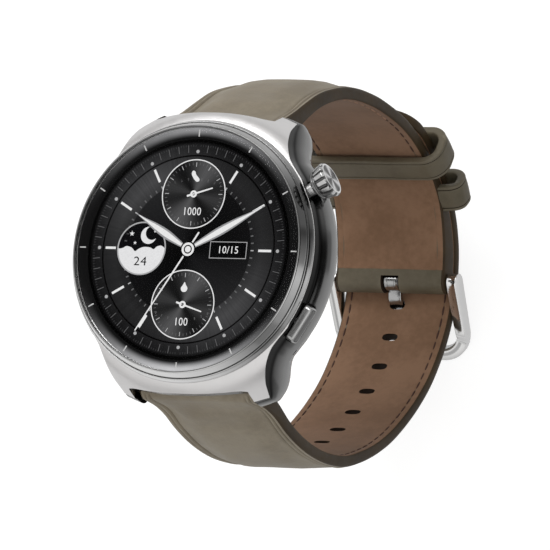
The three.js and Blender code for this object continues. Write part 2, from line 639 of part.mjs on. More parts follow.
// ---------- buckle ----------
const LEG_IN = 10.85;
const LEG_OUT = 12.9;
const BUCKLE_LEAN = 34.5;       // degrees the legs slope from -Y towards -Z
const BUCKLE_REACH = 13.5;      // bar axis to front bar
const BAR_BORE_R = BUCKLE_BAR_R + 0.1;
const LEG_DIR = polar(-1, rad(BUCKLE_LEAN));

// [y, z] from the distance along the legs and the distance away from the wrist
const inBuckle = (along, out) => [
  BUCKLE[0] + LEG_DIR[0] * along - LEG_DIR[1] * out,
  BUCKLE[1] + LEG_DIR[1] * along + LEG_DIR[0] * out];

function buckleLeg(side) {
  const halfRound = (centre, radius, start) => Array.from({ length: 9 },
    (_, i) => polar(radius, rad(start + 180 * i / 8), centre));
  const profile = [...halfRound(BUCKLE, 1.7, BUCKLE_LEAN - 90),
    ...halfRound(inBuckle(BUCKLE_REACH, 0), 1.25, BUCKLE_LEAN + 90)];
  return cut(prismX(profile, ...sideSpan(side, LEG_IN, LEG_OUT)),
    rodX(BUCKLE, BAR_BORE_R, 16, ...sideSpan(side, LEG_IN - 1, LEG_OUT - 0.4)));
}
const frontBar = () => prismX(roundRect(3.2, 1.7, 0.6, 3)
  .map(([along, out]) => inBuckle(along + BUCKLE_REACH, out + 0.25)), -11.5, 11.5);

// Centre line of the tang from the bar to past the front bar: [y, z]
const TANG_LINE = [
  [BUCKLE[0] - 1.3, -71.2], [6.3, -71.75], [5.75, -73.0], [5.4, -75.0],
  inBuckle(8.2, 2.3), inBuckle(BUCKLE_REACH, 1.85), inBuckle(BUCKLE_REACH + 1.5, 1.75)];
const TANG_HALF = 0.42;

// Bent strip on an eye around the bar
function tang() {
  const face = (distance) => TANG_LINE.map(([y, z], i) => {
    const before = TANG_LINE[Math.max(0, i - 1)];
    const after = TANG_LINE[Math.min(TANG_LINE.length - 1, i + 1)];
    const dy = after[0] - before[0];
    const dz = after[1] - before[1];
    const scale = distance / Math.hypot(dy, dz);
    return [y - dz * scale, z + dy * scale];
  });
  const strip = prismX([...face(TANG_HALF), ...face(-TANG_HALF).reverse()], -1.05, 1.05);
  return cut(union(strip, rodX(BUCKLE, 1.7, 20, -1.4, 1.4)), rodX(BUCKLE, BAR_BORE_R, 16, -2, 2));
}

addPiece('buckle_frame', 'buckle', union(buckleLeg(1), buckleLeg(-1), frontBar()));
addPiece('buckle_bar', 'buckleBar', rodX(BUCKLE, BUCKLE_BAR_R, 16, -12.1, 12.1));
addPiece('tang', 'buckle', tang());

export default root;
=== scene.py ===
"""Round smartwatch on a leather strap, closed by a tang buckle.

The glass faces +Z, 12 o'clock is +Y and 3 o'clock is +X; the closed strap hangs towards -Z.
Shapes are written in mm and scaled to metres when a mesh is built.
"""

from math import copysign, cos, exp, hypot, pi, radians as rad, sin, sqrt

import bmesh
import bpy
import numpy as np
from mathutils import Matrix, Vector


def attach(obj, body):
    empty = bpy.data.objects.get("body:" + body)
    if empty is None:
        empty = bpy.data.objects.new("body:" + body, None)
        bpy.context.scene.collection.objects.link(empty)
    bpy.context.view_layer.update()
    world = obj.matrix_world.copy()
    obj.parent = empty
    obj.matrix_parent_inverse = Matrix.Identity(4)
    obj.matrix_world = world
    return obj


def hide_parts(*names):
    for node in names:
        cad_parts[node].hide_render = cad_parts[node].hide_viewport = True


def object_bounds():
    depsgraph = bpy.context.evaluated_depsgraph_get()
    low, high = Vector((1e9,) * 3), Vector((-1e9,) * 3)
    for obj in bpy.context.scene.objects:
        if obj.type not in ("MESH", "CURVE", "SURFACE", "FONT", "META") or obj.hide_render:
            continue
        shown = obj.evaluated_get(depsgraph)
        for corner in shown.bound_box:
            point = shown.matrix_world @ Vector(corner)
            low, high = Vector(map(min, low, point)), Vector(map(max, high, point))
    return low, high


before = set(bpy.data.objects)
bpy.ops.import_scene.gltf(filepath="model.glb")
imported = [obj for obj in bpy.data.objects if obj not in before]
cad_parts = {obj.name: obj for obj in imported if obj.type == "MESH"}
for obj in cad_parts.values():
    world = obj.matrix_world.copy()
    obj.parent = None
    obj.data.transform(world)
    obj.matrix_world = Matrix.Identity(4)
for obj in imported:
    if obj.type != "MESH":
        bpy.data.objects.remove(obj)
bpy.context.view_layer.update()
scene = bpy.context.scene
MM = 0.001
TAU = 2 * pi

# Places shared by several pieces; angles are degrees from +X towards +Y
CROWN_ANGLE, CROWN_Z = 29.4, 7.1
BUTTON_ANGLE, BUTTON_Z = -29.5, 6.6
BAR_Y, BAR_Z = 22.7, 0.8            # strap bars between the lugs, at +Y and -Y
LUG_GAP = 11.4                      # half the width between the lugs
SUB_TOP_Y, SUB_LOW_Y = 9.65, -9.6   # centres of the two small dials
BUCKLE = (9.5, -70.4)               # y, z of the buckle pin


# ------------------------------------------------------------------ node graphs
def srgb(red, green, blue):
    """Display colour 0..255 to scene-linear."""
    def linear(value):
        value /= 255
        return value / 12.92 if value <= 0.04045 else ((value + 0.055) / 1.055) ** 2.4
    return (linear(red), linear(green), linear(blue), 1.0)


class Wire:
    """A node output; arithmetic on it adds math nodes."""

    def __init__(self, graph, socket):
        self.graph, self.socket = graph, socket

    def out(self, key):
        """Another output of the same node."""
        return Wire(self.graph, self.socket.node.outputs[key])

    def __add__(self, other):
        return self.graph.math("ADD", self, other)

    def __sub__(self, other):
        return self.graph.math("SUBTRACT", self, other)

    def __rsub__(self, other):
        return self.graph.math("SUBTRACT", other, self)

    def __mul__(self, other):
        return self.graph.math("MULTIPLY", self, other)

    def __rmul__(self, other):
        return self.graph.math("MULTIPLY", other, self)

    def __pow__(self, other):
        return self.graph.math("POWER", self, other)


class Graph:
    """Builds one node tree; texture scales are given per mm."""

    def __init__(self, tree, output, coords):
        self.tree = tree
        tree.nodes.clear()
        self.output = tree.nodes.new(output)
        self.coords = self.add("ShaderNodeTexCoord", out=coords)

    def add(self, kind, inputs=(), out=0, **settings):
        """Adds a node, feeds its inputs with wires or values and returns one output."""
        node = self.tree.nodes.new(kind)
        for key, value in settings.items():
            setattr(node, key, value)
        for key, value in dict(inputs).items():
            if isinstance(value, Wire):
                self.tree.links.new(value.socket, node.inputs[key])
            elif value is not None:
                node.inputs[key].default_value = value
        return Wire(self, node.outputs[out])

    def math(self, operation, *values):
        return self.add("ShaderNodeMath", enumerate(values), operation=operation)

    def noise(self, per_mm, detail=2.0, rough=0.5, at=None):
        return self.add("ShaderNodeTexNoise", {
            "Vector": at or self.coords, "Scale": per_mm * 1000,
            "Detail": detail, "Roughness": rough}, "Fac")

    def voronoi(self, per_mm, feature):
        return self.add("ShaderNodeTexVoronoi", {
            "Vector": self.coords, "Scale": per_mm * 1000}, "Distance", feature=feature)

    def span(self, value, source, to=(0, 1), smooth=False):
        """Maps the source range onto another range."""
        return self.add("ShaderNodeMapRange", enumerate((value, *source, *to)),
                        interpolation_type="SMOOTHSTEP" if smooth else "LINEAR")

    def vary(self, low, high, per_mm, detail=2.0, rough=0.5, at=None):
        """Noise spread over low..high."""
        return self.span(self.noise(per_mm, detail, rough, at), (0.3, 0.7), (low, high))

    def ramp(self, factor, stops, mode="LINEAR"):
        wire = self.add("ShaderNodeValToRGB", {0: factor})
        ramp = wire.socket.node.color_ramp
        ramp.interpolation = mode
        while len(ramp.elements) < len(stops):
            ramp.elements.new(0.5)
        for element, (position, colour) in zip(ramp.elements, stops):
            element.position = position
            element.color = colour if isinstance(colour, tuple) else (colour,) * 3 + (1,)
        return wire

    def mix(self, factor, first, second, blend="MIX"):
        return self.add("ShaderNodeMix", {0: factor, 6: first, 7: second}, 2,
                        data_type="RGBA", blend_type=blend)

    def gain(self, colour, value):
        """Colour times a scalar."""
        grey = self.add("ShaderNodeCombineColor", {0: value, 1: value, 2: value})
        return self.mix(1.0, colour, grey, "MULTIPLY")

    def bump(self, height, depth_mm, strength=0.5, normal=None):
        return self.add("ShaderNodeBump", {
            "Strength": strength, "Distance": depth_mm * MM, "Height": height, "Normal": normal})

    def attribute(self, name):
        return self.add("ShaderNodeAttribute", out="Fac", attribute_name=name)

    def xyz(self):
        split = self.add("ShaderNodeSeparateXYZ", {0: self.coords})
        return split, split.out(1), split.out(2)

    def radius(self, x, y):
        return self.math("SQRT", x * x + y * y)

    def fans(self, angle, lobes, phase, sharp):
        """Light fans of a turned finish, 0..1; on the crown they are painted into the colour as
        highlights.
        """
        return (self.math("COSINE", (angle + phase) * lobes) * 0.5 + 0.5) ** sharp

    def around(self, angle):
        """Texture place on a unit circle, so that noise runs out in rays."""
        return self.add("ShaderNodeCombineXYZ", {
            0: self.math("COSINE", angle), 1: self.math("SINE", angle)})

    def bsdf(self, colour, rough, metal=0.0, normal=None, **more):
        inputs = {"Base Color": colour, "Roughness": rough, "Metallic": metal, "Normal": normal}
        inputs.update({key.replace("_", " "): value for key, value in more.items()})
        return self.add("ShaderNodeBsdfPrincipled", inputs)

    def emission(self, colour, strength=1.0):
        return self.add("ShaderNodeEmission", {0: colour, 1: strength})

    def finish(self, shader):
        self.tree.links.new(shader.socket, self.output.inputs[0])


MATERIALS = {}


def material(name):
    """Registers a material under its short name and returns its empty graph."""
    mat = bpy.data.materials.new(name + "_mat")
    mat.use_nodes = True
    MATERIALS[name] = mat
    return Graph(mat.node_tree, "ShaderNodeOutputMaterial", "Object")


# ------------------------------------------------------------------ materials
def steel(name, grey, rough, bevel, grain=0.0, shaded=False, tint=(1, 1, 1), streak=None):
    """Metal; bevel and grain in mm; when shaded, the colour is darkened by painted shade from the
    mesh's shade attribute; streak as scales.
    """
    g = material(name)
    low, high = [tuple(grey * k * c for c in tint) + (1,) for k in (0.95, 1.04)]
    base = g.mix(g.noise(per_mm=0.25, detail=3), low, high)
    if shaded:
        base = g.gain(base, g.attribute("shade"))
    roughness = g.vary(rough * 0.86, rough * 1.14, per_mm=0.6, detail=4, rough=0.6)
    normal = None
    if bevel:
        normal = g.add("ShaderNodeBevel", {"Radius": bevel * MM}, samples=4)
    if grain:
        at = None
        if streak:
            at = g.add("ShaderNodeMapping", {"Vector": g.coords, "Scale": streak})
        noise = g.noise(per_mm=1.0 if streak else 14, detail=3, rough=0.6, at=at)
        normal = g.bump(noise, grain, normal=normal)
    g.finish(g.bsdf(base, roughness, 1.0, normal))


def leather(name, dark, light, rough, grain, crease, sheen, spec, worn):
    g = material(name)
    fine = g.noise(per_mm=0.9, detail=5, rough=0.62)
    tone = g.noise(per_mm=0.09, detail=4, rough=0.55) * 0.65 + fine * 0.35
    base = g.mix(g.span(tone, (0.36, 0.64), smooth=True), srgb(*dark), srgb(*light))
    pores = g.span(g.voronoi(2.3, "F1"), (0.0, 0.16))
    base = g.gain(base, g.span(pores, (0, 1), to=(0.9, 1.0)))
    folds = g.span(g.voronoi(1.15, "DISTANCE_TO_EDGE"), (0.0, 0.18), smooth=True)
    height = folds * crease + g.noise(per_mm=3.2, detail=4, rough=0.6) * 0.6 + pores * 0.25
    if worn:
        pointed = g.add("ShaderNodeNewGeometry", out="Pointiness")
        edges = g.span(pointed, (0.52, 0.6), to=(0, 0.55), smooth=True)
        base = g.mix(edges, base, srgb(*worn))
    roughness = g.span(fine, (0.3, 0.7), to=(rough - 0.07, rough + 0.07))
    g.finish(g.bsdf(base, roughness, 0.0, g.bump(height, grain, strength=0.6),
                    Specular_IOR_Level=spec, Sheen_Weight=sheen, Sheen_Roughness=0.5))


def plastic(name, colour, rough, metal, grain, spread, spec, coat):
    g = material(name)
    tone = g.vary(1 - spread, 1 + spread, per_mm=0.5, detail=4, rough=0.6)
    normal = g.bump(g.noise(per_mm=6, detail=4, rough=0.6), grain)
    roughness = g.vary(rough - 0.05, rough + 0.05, per_mm=1.5, detail=3)
    g.finish(g.bsdf(g.gain(srgb(*colour), tone), roughness, metal, normal,
                    Specular_IOR_Level=spec, Coat_Weight=coat))


def lit_mark(name, colour):
    """Lit mark on the screen."""
    g = material(name)
    tone = g.vary(1 - 0.06, 1 + 0.06, per_mm=4, detail=3)
    g.finish(g.emission(g.gain(srgb(*colour), tone)))


def angle_about(g, centre_y):
    """Angle in the dial plane about a centre on the Y axis."""
    x, y, _ = g.xyz()
    return g.math("ARCTAN2", y - centre_y * MM, x - 0.0)


# radius and display colour of the bands of the dial
DIAL_RADIUS = 22
DIAL_BANDS = [
    (0, (15, 15, 16)), (8, (25, 25, 26)), (11.8, (30, 30, 31)), (11.9, (47, 47, 48)),
    (14, (60, 60, 61)), (16.15, (52, 52, 53)), (16.2, (8, 8, 8)), (16.45, (8, 8, 8)),
    (16.5, (46, 46, 47)), (18.2, (36, 36, 37)), (18.75, (7, 7, 7)), (DIAL_RADIUS, (4, 4, 4))]


def dial_base():
    g = material("dial_base")
    x, y, _ = g.xyz()
    bands = g.ramp(g.radius(x, y) * (1000 / DIAL_RADIUS),
                   [(r / DIAL_RADIUS, srgb(*colour)) for r, colour in DIAL_BANDS])
    angle = angle_about(g, 0)
    fans = g.fans(angle, lobes=2, phase=rad(52), sharp=2.2)
    streak = g.vary(0.8, 1.2, per_mm=0.045, detail=6, rough=0.75, at=g.around(angle))
    g.finish(g.emission(g.gain(bands, g.span(fans, (0, 1), to=(0.45, 1.35)) * streak)))


def sub_face(name, centre_y):
    """Face of a small dial: a wide and a narrow pair of fans."""
    g = material(name)
    angle = angle_about(g, centre_y)
    wide = g.fans(angle, lobes=2, phase=rad(-62), sharp=3.0)
    narrow = g.fans(angle_about(g, centre_y), lobes=2, phase=rad(-62) + rad(78), sharp=8.0)
    streak = g.vary(0.7, 1.3, per_mm=0.03, detail=6, rough=0.8, at=g.around(angle))
    level = (wide * 0.075 + narrow * 0.03 + 0.007) * streak
    g.finish(g.emission(g.gain((1, 1, 1.02, 1), level)))


def crystal_glass():
    """Clear glass with a weak reflection, scaled by the mesh's coat attribute."""
    g = material("crystal_glass")
    clear = g.add("ShaderNodeBsdfTransparent")
    gloss = g.add("ShaderNodeBsdfGlossy",
                  {"Roughness": g.vary(0.012, 0.02, per_mm=0.2, detail=3)})
    fresnel = g.add("ShaderNodeFresnel", {"IOR": 1.33})
    share = fresnel * g.attribute("coat")
    g.finish(g.add("ShaderNodeMixShader", {0: share, 1: clear, 2: gloss}))


def chapter_ring():
    """Near-black ring with painted highlights towards 12 and 6 o'clock and towards its outer edge,
    drawn as a glow.
    """
    g = material("chapter_ring")
    x, y, _ = g.xyz()
    sine = g.math("SINE", g.math("ARCTAN2", y, x))
    upright = g.math("ABSOLUTE", sine) ** 4.5
    edge = g.span(g.radius(x, y) * 1000, (19.5, 20.9), smooth=True)
    level = upright * edge * g.span(sine, (-1, 1), to=(1.0, 0.5))
    level = (level + 0.012) * g.vary(0.94, 1.06, per_mm=0.4, detail=3)
    # the ring glows with these painted highlights, though it is no lamp
    g.finish(g.emission(g.gain(srgb(196, 196, 198), level)))


def crown_face():
    """Turned end face with four painted highlight fans in its colour, in the crown's own axes."""
    g = material("crown_face")
    turn = rad(CROWN_ANGLE)
    x, y, z = g.xyz()
    across = x * -sin(turn) + y * cos(turn)
    height = z - CROWN_Z * MM
    fans = g.fans(g.math("ARCTAN2", height, across), lobes=4, phase=rad(12), sharp=2.2)
    grooves = g.math("SINE", g.radius(across, height) * 1000 * 40)
    # the fans scale the base colour from dark to bright: painted highlights
    base = g.gain((0.74, 0.74, 0.75, 1), g.span(fans, (0, 1), to=(0.07, 1.0)))
    roughness = g.vary(0.24, 0.34, per_mm=1, detail=3)
    g.finish(g.bsdf(base, roughness, 1.0, g.bump(grooves, 0.01, strength=0.4)))


def circuit_board():
    g = material("circuit_board")
    tracks = g.add("ShaderNodeTexBrick", {
        "Vector": g.coords, "Scale": 260, "Color1": srgb(24, 66, 44),
        "Color2": srgb(30, 80, 52), "Mortar": srgb(150, 120, 60), "Mortar Size": 0.012})
    roughness = g.vary(0.35, 0.5, per_mm=1)
    g.finish(g.bsdf(tracks, roughness, metal=0.1, normal=g.bump(tracks.out(1), 0.03)))


def copper_wire():
    g = material("copper_wire")
    pitch = 0.38
    x, y, _ = g.xyz()
    turns = g.math("SINE", g.radius(x, y) * 1000 * (TAU / pitch))
    base = g.mix(g.span(turns, (-1, 1)), srgb(96, 48, 22), srgb(196, 120, 70))
    g.finish(g.bsdf(base, rough=0.35, metal=0.85, normal=g.bump(turns, 0.05, strength=0.8)))


def battery_wrap():
    """Grey wrap with one gold band across it."""
    g = material("battery_wrap")
    band_y, band_half = 0.007, 0.0012   # metres
    _, y, _ = g.xyz()
    outside = g.math("GREATER_THAN", g.math("ABSOLUTE", y + -band_y), band_half)
    grey = g.gain(srgb(66, 74, 84), g.vary(0.85, 1.15, per_mm=0.3, detail=4))
    base = g.mix(outside, srgb(196, 150, 60), grey)
    normal = g.bump(g.noise(per_mm=0.7, detail=4), 0.05)
    g.finish(g.bsdf(base, rough=0.45, metal=0.2, normal=normal))


# name: dark, light, roughness, grain depth (mm), crease share, sheen, specular, worn edge
LEATHERS = {
    "outer_leather": ((130, 120, 103), (149, 139, 121), 0.5, 0.05, 0.35, 0, 0.35, (165, 155, 138)),
    # a darker copy of the outer leather for the keepers and the strap's underside: painted shade
    "keeper_leather_shaded": ((91, 84, 68), (107, 99, 82), 0.5, 0.04, 0.3, 0, 0.35, (126, 118, 101)),
    "painted_edge": ((52, 41, 27), (66, 53, 35), 0.5, 0.03, 0.1, 0, 0.18, None),
    "cut_edge": ((38, 28, 20), (52, 38, 28), 0.8, 0.05, 0.2, 0, 0.35, None),
    "lining_leather": ((124, 94, 71), (143, 111, 87), 0.74, 0.035, 0.15, 0.12, 0.2, None),
}
# name: colour, roughness, metal, grain depth (mm), tone spread, specular, coat
PLASTICS = {
    "thread": ((74, 52, 44), 0.7, 0, 0.05, 0.2, 0.3, 0),
    # a lighter copy of the thread colour for the upper stitches: painted highlight
    "thread_light": ((176, 140, 116), 0.7, 0, 0.05, 0.2, 0.3, 0),
    "rubber": ((24, 24, 25), 0.65, 0, 0.03, 0.2, 0.3, 0),
    "black_plastic": ((30, 31, 33), 0.42, 0, 0.02, 0.12, 0.5, 0),
    "back_cover": ((26, 27, 29), 0.3, 0, 0.006, 0.1, 0.5, 0),
    "back_glass": ((9, 10, 13), 0.06, 0, 0.001, 0.1, 0.6, 1),
    "lens": ((40, 16, 18), 0.08, 0, 0.001, 0.2, 0.6, 1),
    "led": ((60, 96, 66), 0.12, 0, 0.001, 0.2, 0.6, 1),
    "switch_metal": ((168, 160, 140), 0.35, 0.85, 0.01, 0.12, 0.5, 0),
    "nylon": ((214, 212, 204), 0.45, 0, 0.02, 0.06, 0.5, 0),
    "haptic_mass": ((120, 120, 124), 0.38, 0.9, 0.02, 0.12, 0.5, 0),
    "ring_tick": ((200, 200, 200), 0.4, 0, 0.002, 0.05, 0.5, 0),
}
# display colours of the lit marks, in slot order
MARK_COLOURS = {
    "mark_white": (232, 232, 232), "mark_mid": (170, 170, 171), "mark_dim": (100, 100, 101),
    "mark_faint": (70, 70, 71), "mark_black": (10, 10, 11), "mark_night": (14, 14, 16),
    "mark_cloud": (226, 226, 227), "hand_shade": (150, 150, 152),
}
MARKS = list(MARK_COLOURS)
WHITE, MID, DIM, FAINT, BLACK, NIGHT, CLOUD, SHADE = range(8)

steel("satin_steel", grey=0.75, rough=0.34, bevel=0.12, grain=0.012, tint=(1.0, 0.985, 0.985))
# flank_steel is darkened per vertex by the painted shade attribute, for dark reflections on the flanks
steel("flank_steel", grey=0.80, rough=0.16, bevel=0.1, shaded=True)
steel("shadow_steel", grey=0.22, rough=0.3, bevel=0.06)
steel("polished_steel", grey=0.83, rough=0.085, bevel=0.1)
# bezel_steel is darkened round the ring by the painted shade attribute: painted reflections
steel("bezel_steel", grey=0.84, rough=0.1, bevel=0.05, shaded=True)
# a darker copy of the polished steel for the tang and the button's side: painted dark reflections
steel("tang_steel", grey=0.42, rough=0.17, bevel=0.08, grain=0.01)
steel("knurled_steel", grey=0.56, rough=0.2, bevel=0.06, grain=0.01)
# flute valleys of the crown: a darker copy of the steel, painted shade
steel("knurl_valley_shade", grey=0.13, rough=0.3, bevel=0.0, grain=0.01)
# frosted button face with a very dark grey: painted shade
steel("frosted_steel_shaded", grey=0.17, rough=0.42, bevel=0.06, grain=0.02)
steel("bare_metal", grey=0.6, rough=0.3, bevel=0.08, grain=0.01)
steel("brushed_metal", grey=0.62, rough=0.3, bevel=0.08, grain=0.02, streak=(400, 12000, 12000))
for maker, table in ((leather, LEATHERS), (plastic, PLASTICS)):
    for name, values in table.items():
        maker(name, *values)
for name, colour in MARK_COLOURS.items():
    lit_mark(name, colour)
for maker in (circuit_board, copper_wire, battery_wrap, crystal_glass, chapter_ring, crown_face,
              dial_base):
    maker()
sub_face("sub_dial_top", SUB_TOP_Y)
sub_face("sub_dial_low", SUB_LOW_Y)


# ------------------------------------------------------------------ mesh tools
class Solid:
    """Gathers closed shapes, each (vertices, faces) in mm, into one mesh."""

    def __init__(self, shape=None, slots=0):
        self.verts, self.faces, self.slots = [], [], []
        if shape:
            self.add(shape, slots)

    def add(self, shape, slots=0):
        """Adds a shape; slots is one material slot, or one per face."""
        verts, faces = shape
        first = len(self.verts)
        self.verts += np.asarray(verts, float).tolist()
        self.faces += [[i + first for i in face] for face in faces]
        self.slots += [slots] * len(faces) if isinstance(slots, int) else slots
        return self

    def build(self, name, mats, angle=38, **attributes):
        """Makes the object; attributes are values per vertex, or one for all."""
        mesh = bpy.data.meshes.new(name)
        mesh.from_pydata((np.array(self.verts) * MM).tolist(), [], self.faces)
        mesh.polygons.foreach_set("material_index", self.slots)
        tidy(mesh)
        for mat in [mats] if isinstance(mats, str) else mats:
            mesh.materials.append(MATERIALS[mat])
        for key, values in attributes.items():
            layer = mesh.attributes.new(key, "FLOAT", "POINT")
            layer.data.foreach_set("value", np.full(len(self.verts), values, np.float32))
        mesh.polygons.foreach_set("use_smooth", [True] * len(mesh.polygons))
        mesh.set_sharp_from_angle(angle=rad(angle))
        return link(name, mesh)


def link(name, data):
    obj = bpy.data.objects.new(name, data)
    scene.collection.objects.link(obj)
    return obj


def tidy(mesh, merge=None):
    """Turns faces outwards, after merging vertices closer than a distance."""
    bm = bmesh.new()
    bm.from_mesh(mesh)
    if merge:
        bmesh.ops.remove_doubles(bm, verts=bm.verts, dist=merge)
    bmesh.ops.recalc_face_normals(bm, faces=bm.faces)
    bm.to_mesh(mesh)
    bm.free()


def evaluated_mesh(obj):
    bpy.context.view_layer.update()
    return bpy.data.meshes.new_from_object(
        obj.evaluated_get(bpy.context.evaluated_depsgraph_get()))


def carve(target, name, solid, angle=38, **attributes):
    """Cuts a solid out of an object; cut faces keep the solid's slot numbers."""
    cutter = solid.build(name, [], **attributes)
    for mat in target.data.materials:
        cutter.data.materials.append(mat)
    cut = target.modifiers.new("cut", "BOOLEAN")
    cut.operation, cut.solver, cut.object = "DIFFERENCE", "EXACT", cutter
    cut.material_mode = "INDEX"
    mesh = evaluated_mesh(target)
    target.modifiers.clear()
    target.data = mesh
    bpy.data.objects.remove(cutter)
    mesh.set_sharp_from_angle(angle=rad(angle))


def place(obj, body, slot, *nodes):
    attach(obj, body)
    if nodes:
        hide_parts(*nodes)


def grid(rings, loop=False, caps=True):
    """Skins rings of points; faces come ring by ring, the two caps last."""
    rings = np.asarray(rings, float)
    count, size = rings.shape[:2]
    steps = count if loop else count - 1
    i, j = np.repeat(np.arange(steps), size), np.tile(np.arange(size), steps)
    here, there, ahead = i * size, ((i + 1) % count) * size, (j + 1) % size
    faces = np.stack([here + j, here + ahead, there + ahead, there + j], 1).tolist()
    if caps and not loop:
        faces += [list(range(size))[::-1], [(count - 1) * size + k for k in range(size)]]
    return rings.reshape(-1, 3), faces


def circle(radius, count, x=0.0, y=0.0):
    turns = [TAU * i / count for i in range(count)]
    return [(x + radius * cos(t), y + radius * sin(t)) for t in turns]


def arc(radius, start, end, count, x=0.0, y=0.0):
    """Points from one angle to another, in degrees."""
    turns = np.radians(np.linspace(start, end, count))
    return [(x + radius * cos(t), y + radius * sin(t)) for t in turns]


def rounded_rect(width, height, radius, steps=5):
    """Counter-clockwise outline about the origin."""
    out = []
    for side_x, side_y, start in ((1, 1, 0), (-1, 1, 90), (-1, -1, 180), (1, -1, 270)):
        out += arc(radius, start, start + 90, steps + 1,
                   side_x * (width / 2 - radius), side_y * (height / 2 - radius))
    return out


def prism(outline, z0, z1):
    return grid([[(x, y, z) for x, y in outline] for z in (z0, z1)])


def bar_x(outline, x0, x1):
    """An outline of (y, z) carried along X."""
    return grid([[(x, y, z) for y, z in outline] for x in (x0, x1)])


def disc(radius, z0, z1, x=0.0, y=0.0, count=48):
    return prism(circle(radius, count, x, y), z0, z1)


def revolve(profile, count=256):
    """(radius, z) turned about Z: a closed ring, or a body that starts and ends on the axis."""
    solid = profile[0][0] == 0
    rings = [[(x, y, z) for x, y in circle(r, count)]
             for r, z in (profile[1:-1] if solid else profile)]
    verts, faces = grid(rings, loop=not solid, caps=False)
    if solid:
        first = len(verts)
        last = first - count
        verts = np.vstack([verts, [[0, 0, profile[0][1]], [0, 0, profile[-1][1]]]])
        for j in range(count):
            faces.append([first, (j + 1) % count, j])
            faces.append([first + 1, last + j, last + (j + 1) % count])
    return verts, faces


def annulus(r0, r1, z0, z1, y=0.0, x=0.0, count=96):
    verts, faces = revolve([(r0, z0), (r1, z0), (r1, z1), (r0, z1)], count)
    return verts + np.array([x, y, 0]), faces


def radial(shape, angle, height):
    """Turns (tangential, up, outward) coordinates to an angle and height of the case."""
    (side, up, out), turn = shape[0].T, rad(angle)
    return np.stack([out * cos(turn) - side * sin(turn), out * sin(turn) + side * cos(turn),
                     up + height], 1), shape[1]


def spoke(r0, r1, degrees, width, y=0.0, tip=None):
    """A flat bar from r0 to r1 about (0, y), clockwise from 12 o'clock."""
    s, c = sin(rad(degrees)), cos(rad(degrees))
    ends = ((r0, width / 2), (r1, (width if tip is None else tip) / 2))
    return ([(r * s - half * c, y + r * c + half * s) for r, half in ends]
            + [(r * s + half * c, y + r * c - half * s) for r, half in ends[::-1]])


def spline(points, steps, closed=False):
    """Catmull-Rom through rows of numbers, with steps samples per span."""
    p = np.asarray(points, float)
    if closed:
        q = np.vstack([p[-1], p, p[:2]])
    else:
        q = np.vstack([2 * p[0] - p[1], p, 2 * p[-1] - p[-2]])
    out = []
    for i in range(len(q) - 3):
        p0, p1, p2, p3 = q[i:i + 4]
        for k in range(steps):
            t = k / steps
            out.append(0.5 * (2 * p1 + (p2 - p0) * t + (2 * p0 - 5 * p1 + 4 * p2 - p3) * t * t
                              + (3 * p1 - p0 - 3 * p2 + p3) * t ** 3))
    if not closed:
        out.append(p[-1])
    return np.array(out)


def smooth_step(x, start, end):
    t = np.clip((np.asarray(x, float) - start) / (end - start), 0, 1)
    return t * t * (3 - 2 * t)


def line_normals(points, loop=False):
    """Unit normals, a quarter turn left of the way the points run."""
    p = np.asarray(points, float)
    way = np.roll(p, -1, 0) - np.roll(p, 1, 0) if loop else np.gradient(p, axis=0)
    way /= np.linalg.norm(way, axis=1)[:, None]
    return np.column_stack([-way[:, 1], way[:, 0]])


def across(section, centre, normal):
    """Stands a section of (x, height) on a centre (y, z) along its normal."""
    return [(x, *(centre + normal * z)) for x, z in section]


# ------------------------------------------------------------------ case shell
SEAT = 18.6             # radius of the opening in the back
EDGE_R, WIDE_R, WIDE_Z = 22.95, 24.6, 4.2

# radius, z of the crowned top face and of the underside
TOP_LINE = spline([(22.3, 9.02), (22.9, 8.9), (24.2, 8.2), (25.2, 7.2), (26.2, 5.6), (27.0, 3.6),
                   (27.6, 1.9), (27.9, -0.5)], 12)
UNDER_LINE = spline([(18.0, 1.2), (21.4, 1.2), (23.2, 0.2), (24.6, -1.0), (26.2, -1.7),
                     (27.6, -2.0), (28.6, -2.05)], 8)


def round_section(degrees):
    c, s = cos(rad(degrees)), sin(rad(degrees))
    return [EDGE_R * c, EDGE_R * s, WIDE_R * c, WIDE_R * s, WIDE_Z, 0]


# Stations of one quarter outline: satin edge x, y; widest line x, y; its z; share of lug
LUG_SIDE = [
    round_section(31),
    [19.1, 13.0, 20.15, 14.05, 3.9, 0.1], [17.7, 14.8, 18.7, 15.7, 3.2, 0.3],
    [16.5, 16.5, 17.45, 16.95, 2.5, 0.6], [15.6, 18.6, 16.6, 18.7, 1.9, 0.9],
    [14.9, 20.7, 16.15, 20.5, 1.2, 1], [14.3, 22.5, 15.6, 22.1, 0.6, 1],
    [13.95, 23.65, 14.75, 23.45, 0.3, 1]]
LUG_TIP = [
    LUG_SIDE[-1], [13.8, 23.86, 14.2, 24.05, 0.25, 1], [13.5, 23.98, 13.6, 24.3, 0.2, 1],
    [12.5, 24.38, 12.6, 24.7, 0.2, 1], [11.4, 24.8, 11.4, 25.1, 0.2, 1]]
LUG_END = [
    [9.5, 25.4, 9.5, 25.7, 0.2, 1], [7, 25.9, 7, 26.2, 0.2, 1], [4, 26.3, 4, 26.6, 0.2, 1],
    [1.5, 26.5, 1.5, 26.8, 0.2, 1]]
quarter = np.array([round_section(a) for a in range(31)] + spline(LUG_SIDE, 9)[:-1].tolist()
                   + spline(LUG_TIP, 4).tolist() + LUG_END)


def mirrored(stations, x, y):
    return stations * np.array([x, y, x, y, 1, 1])


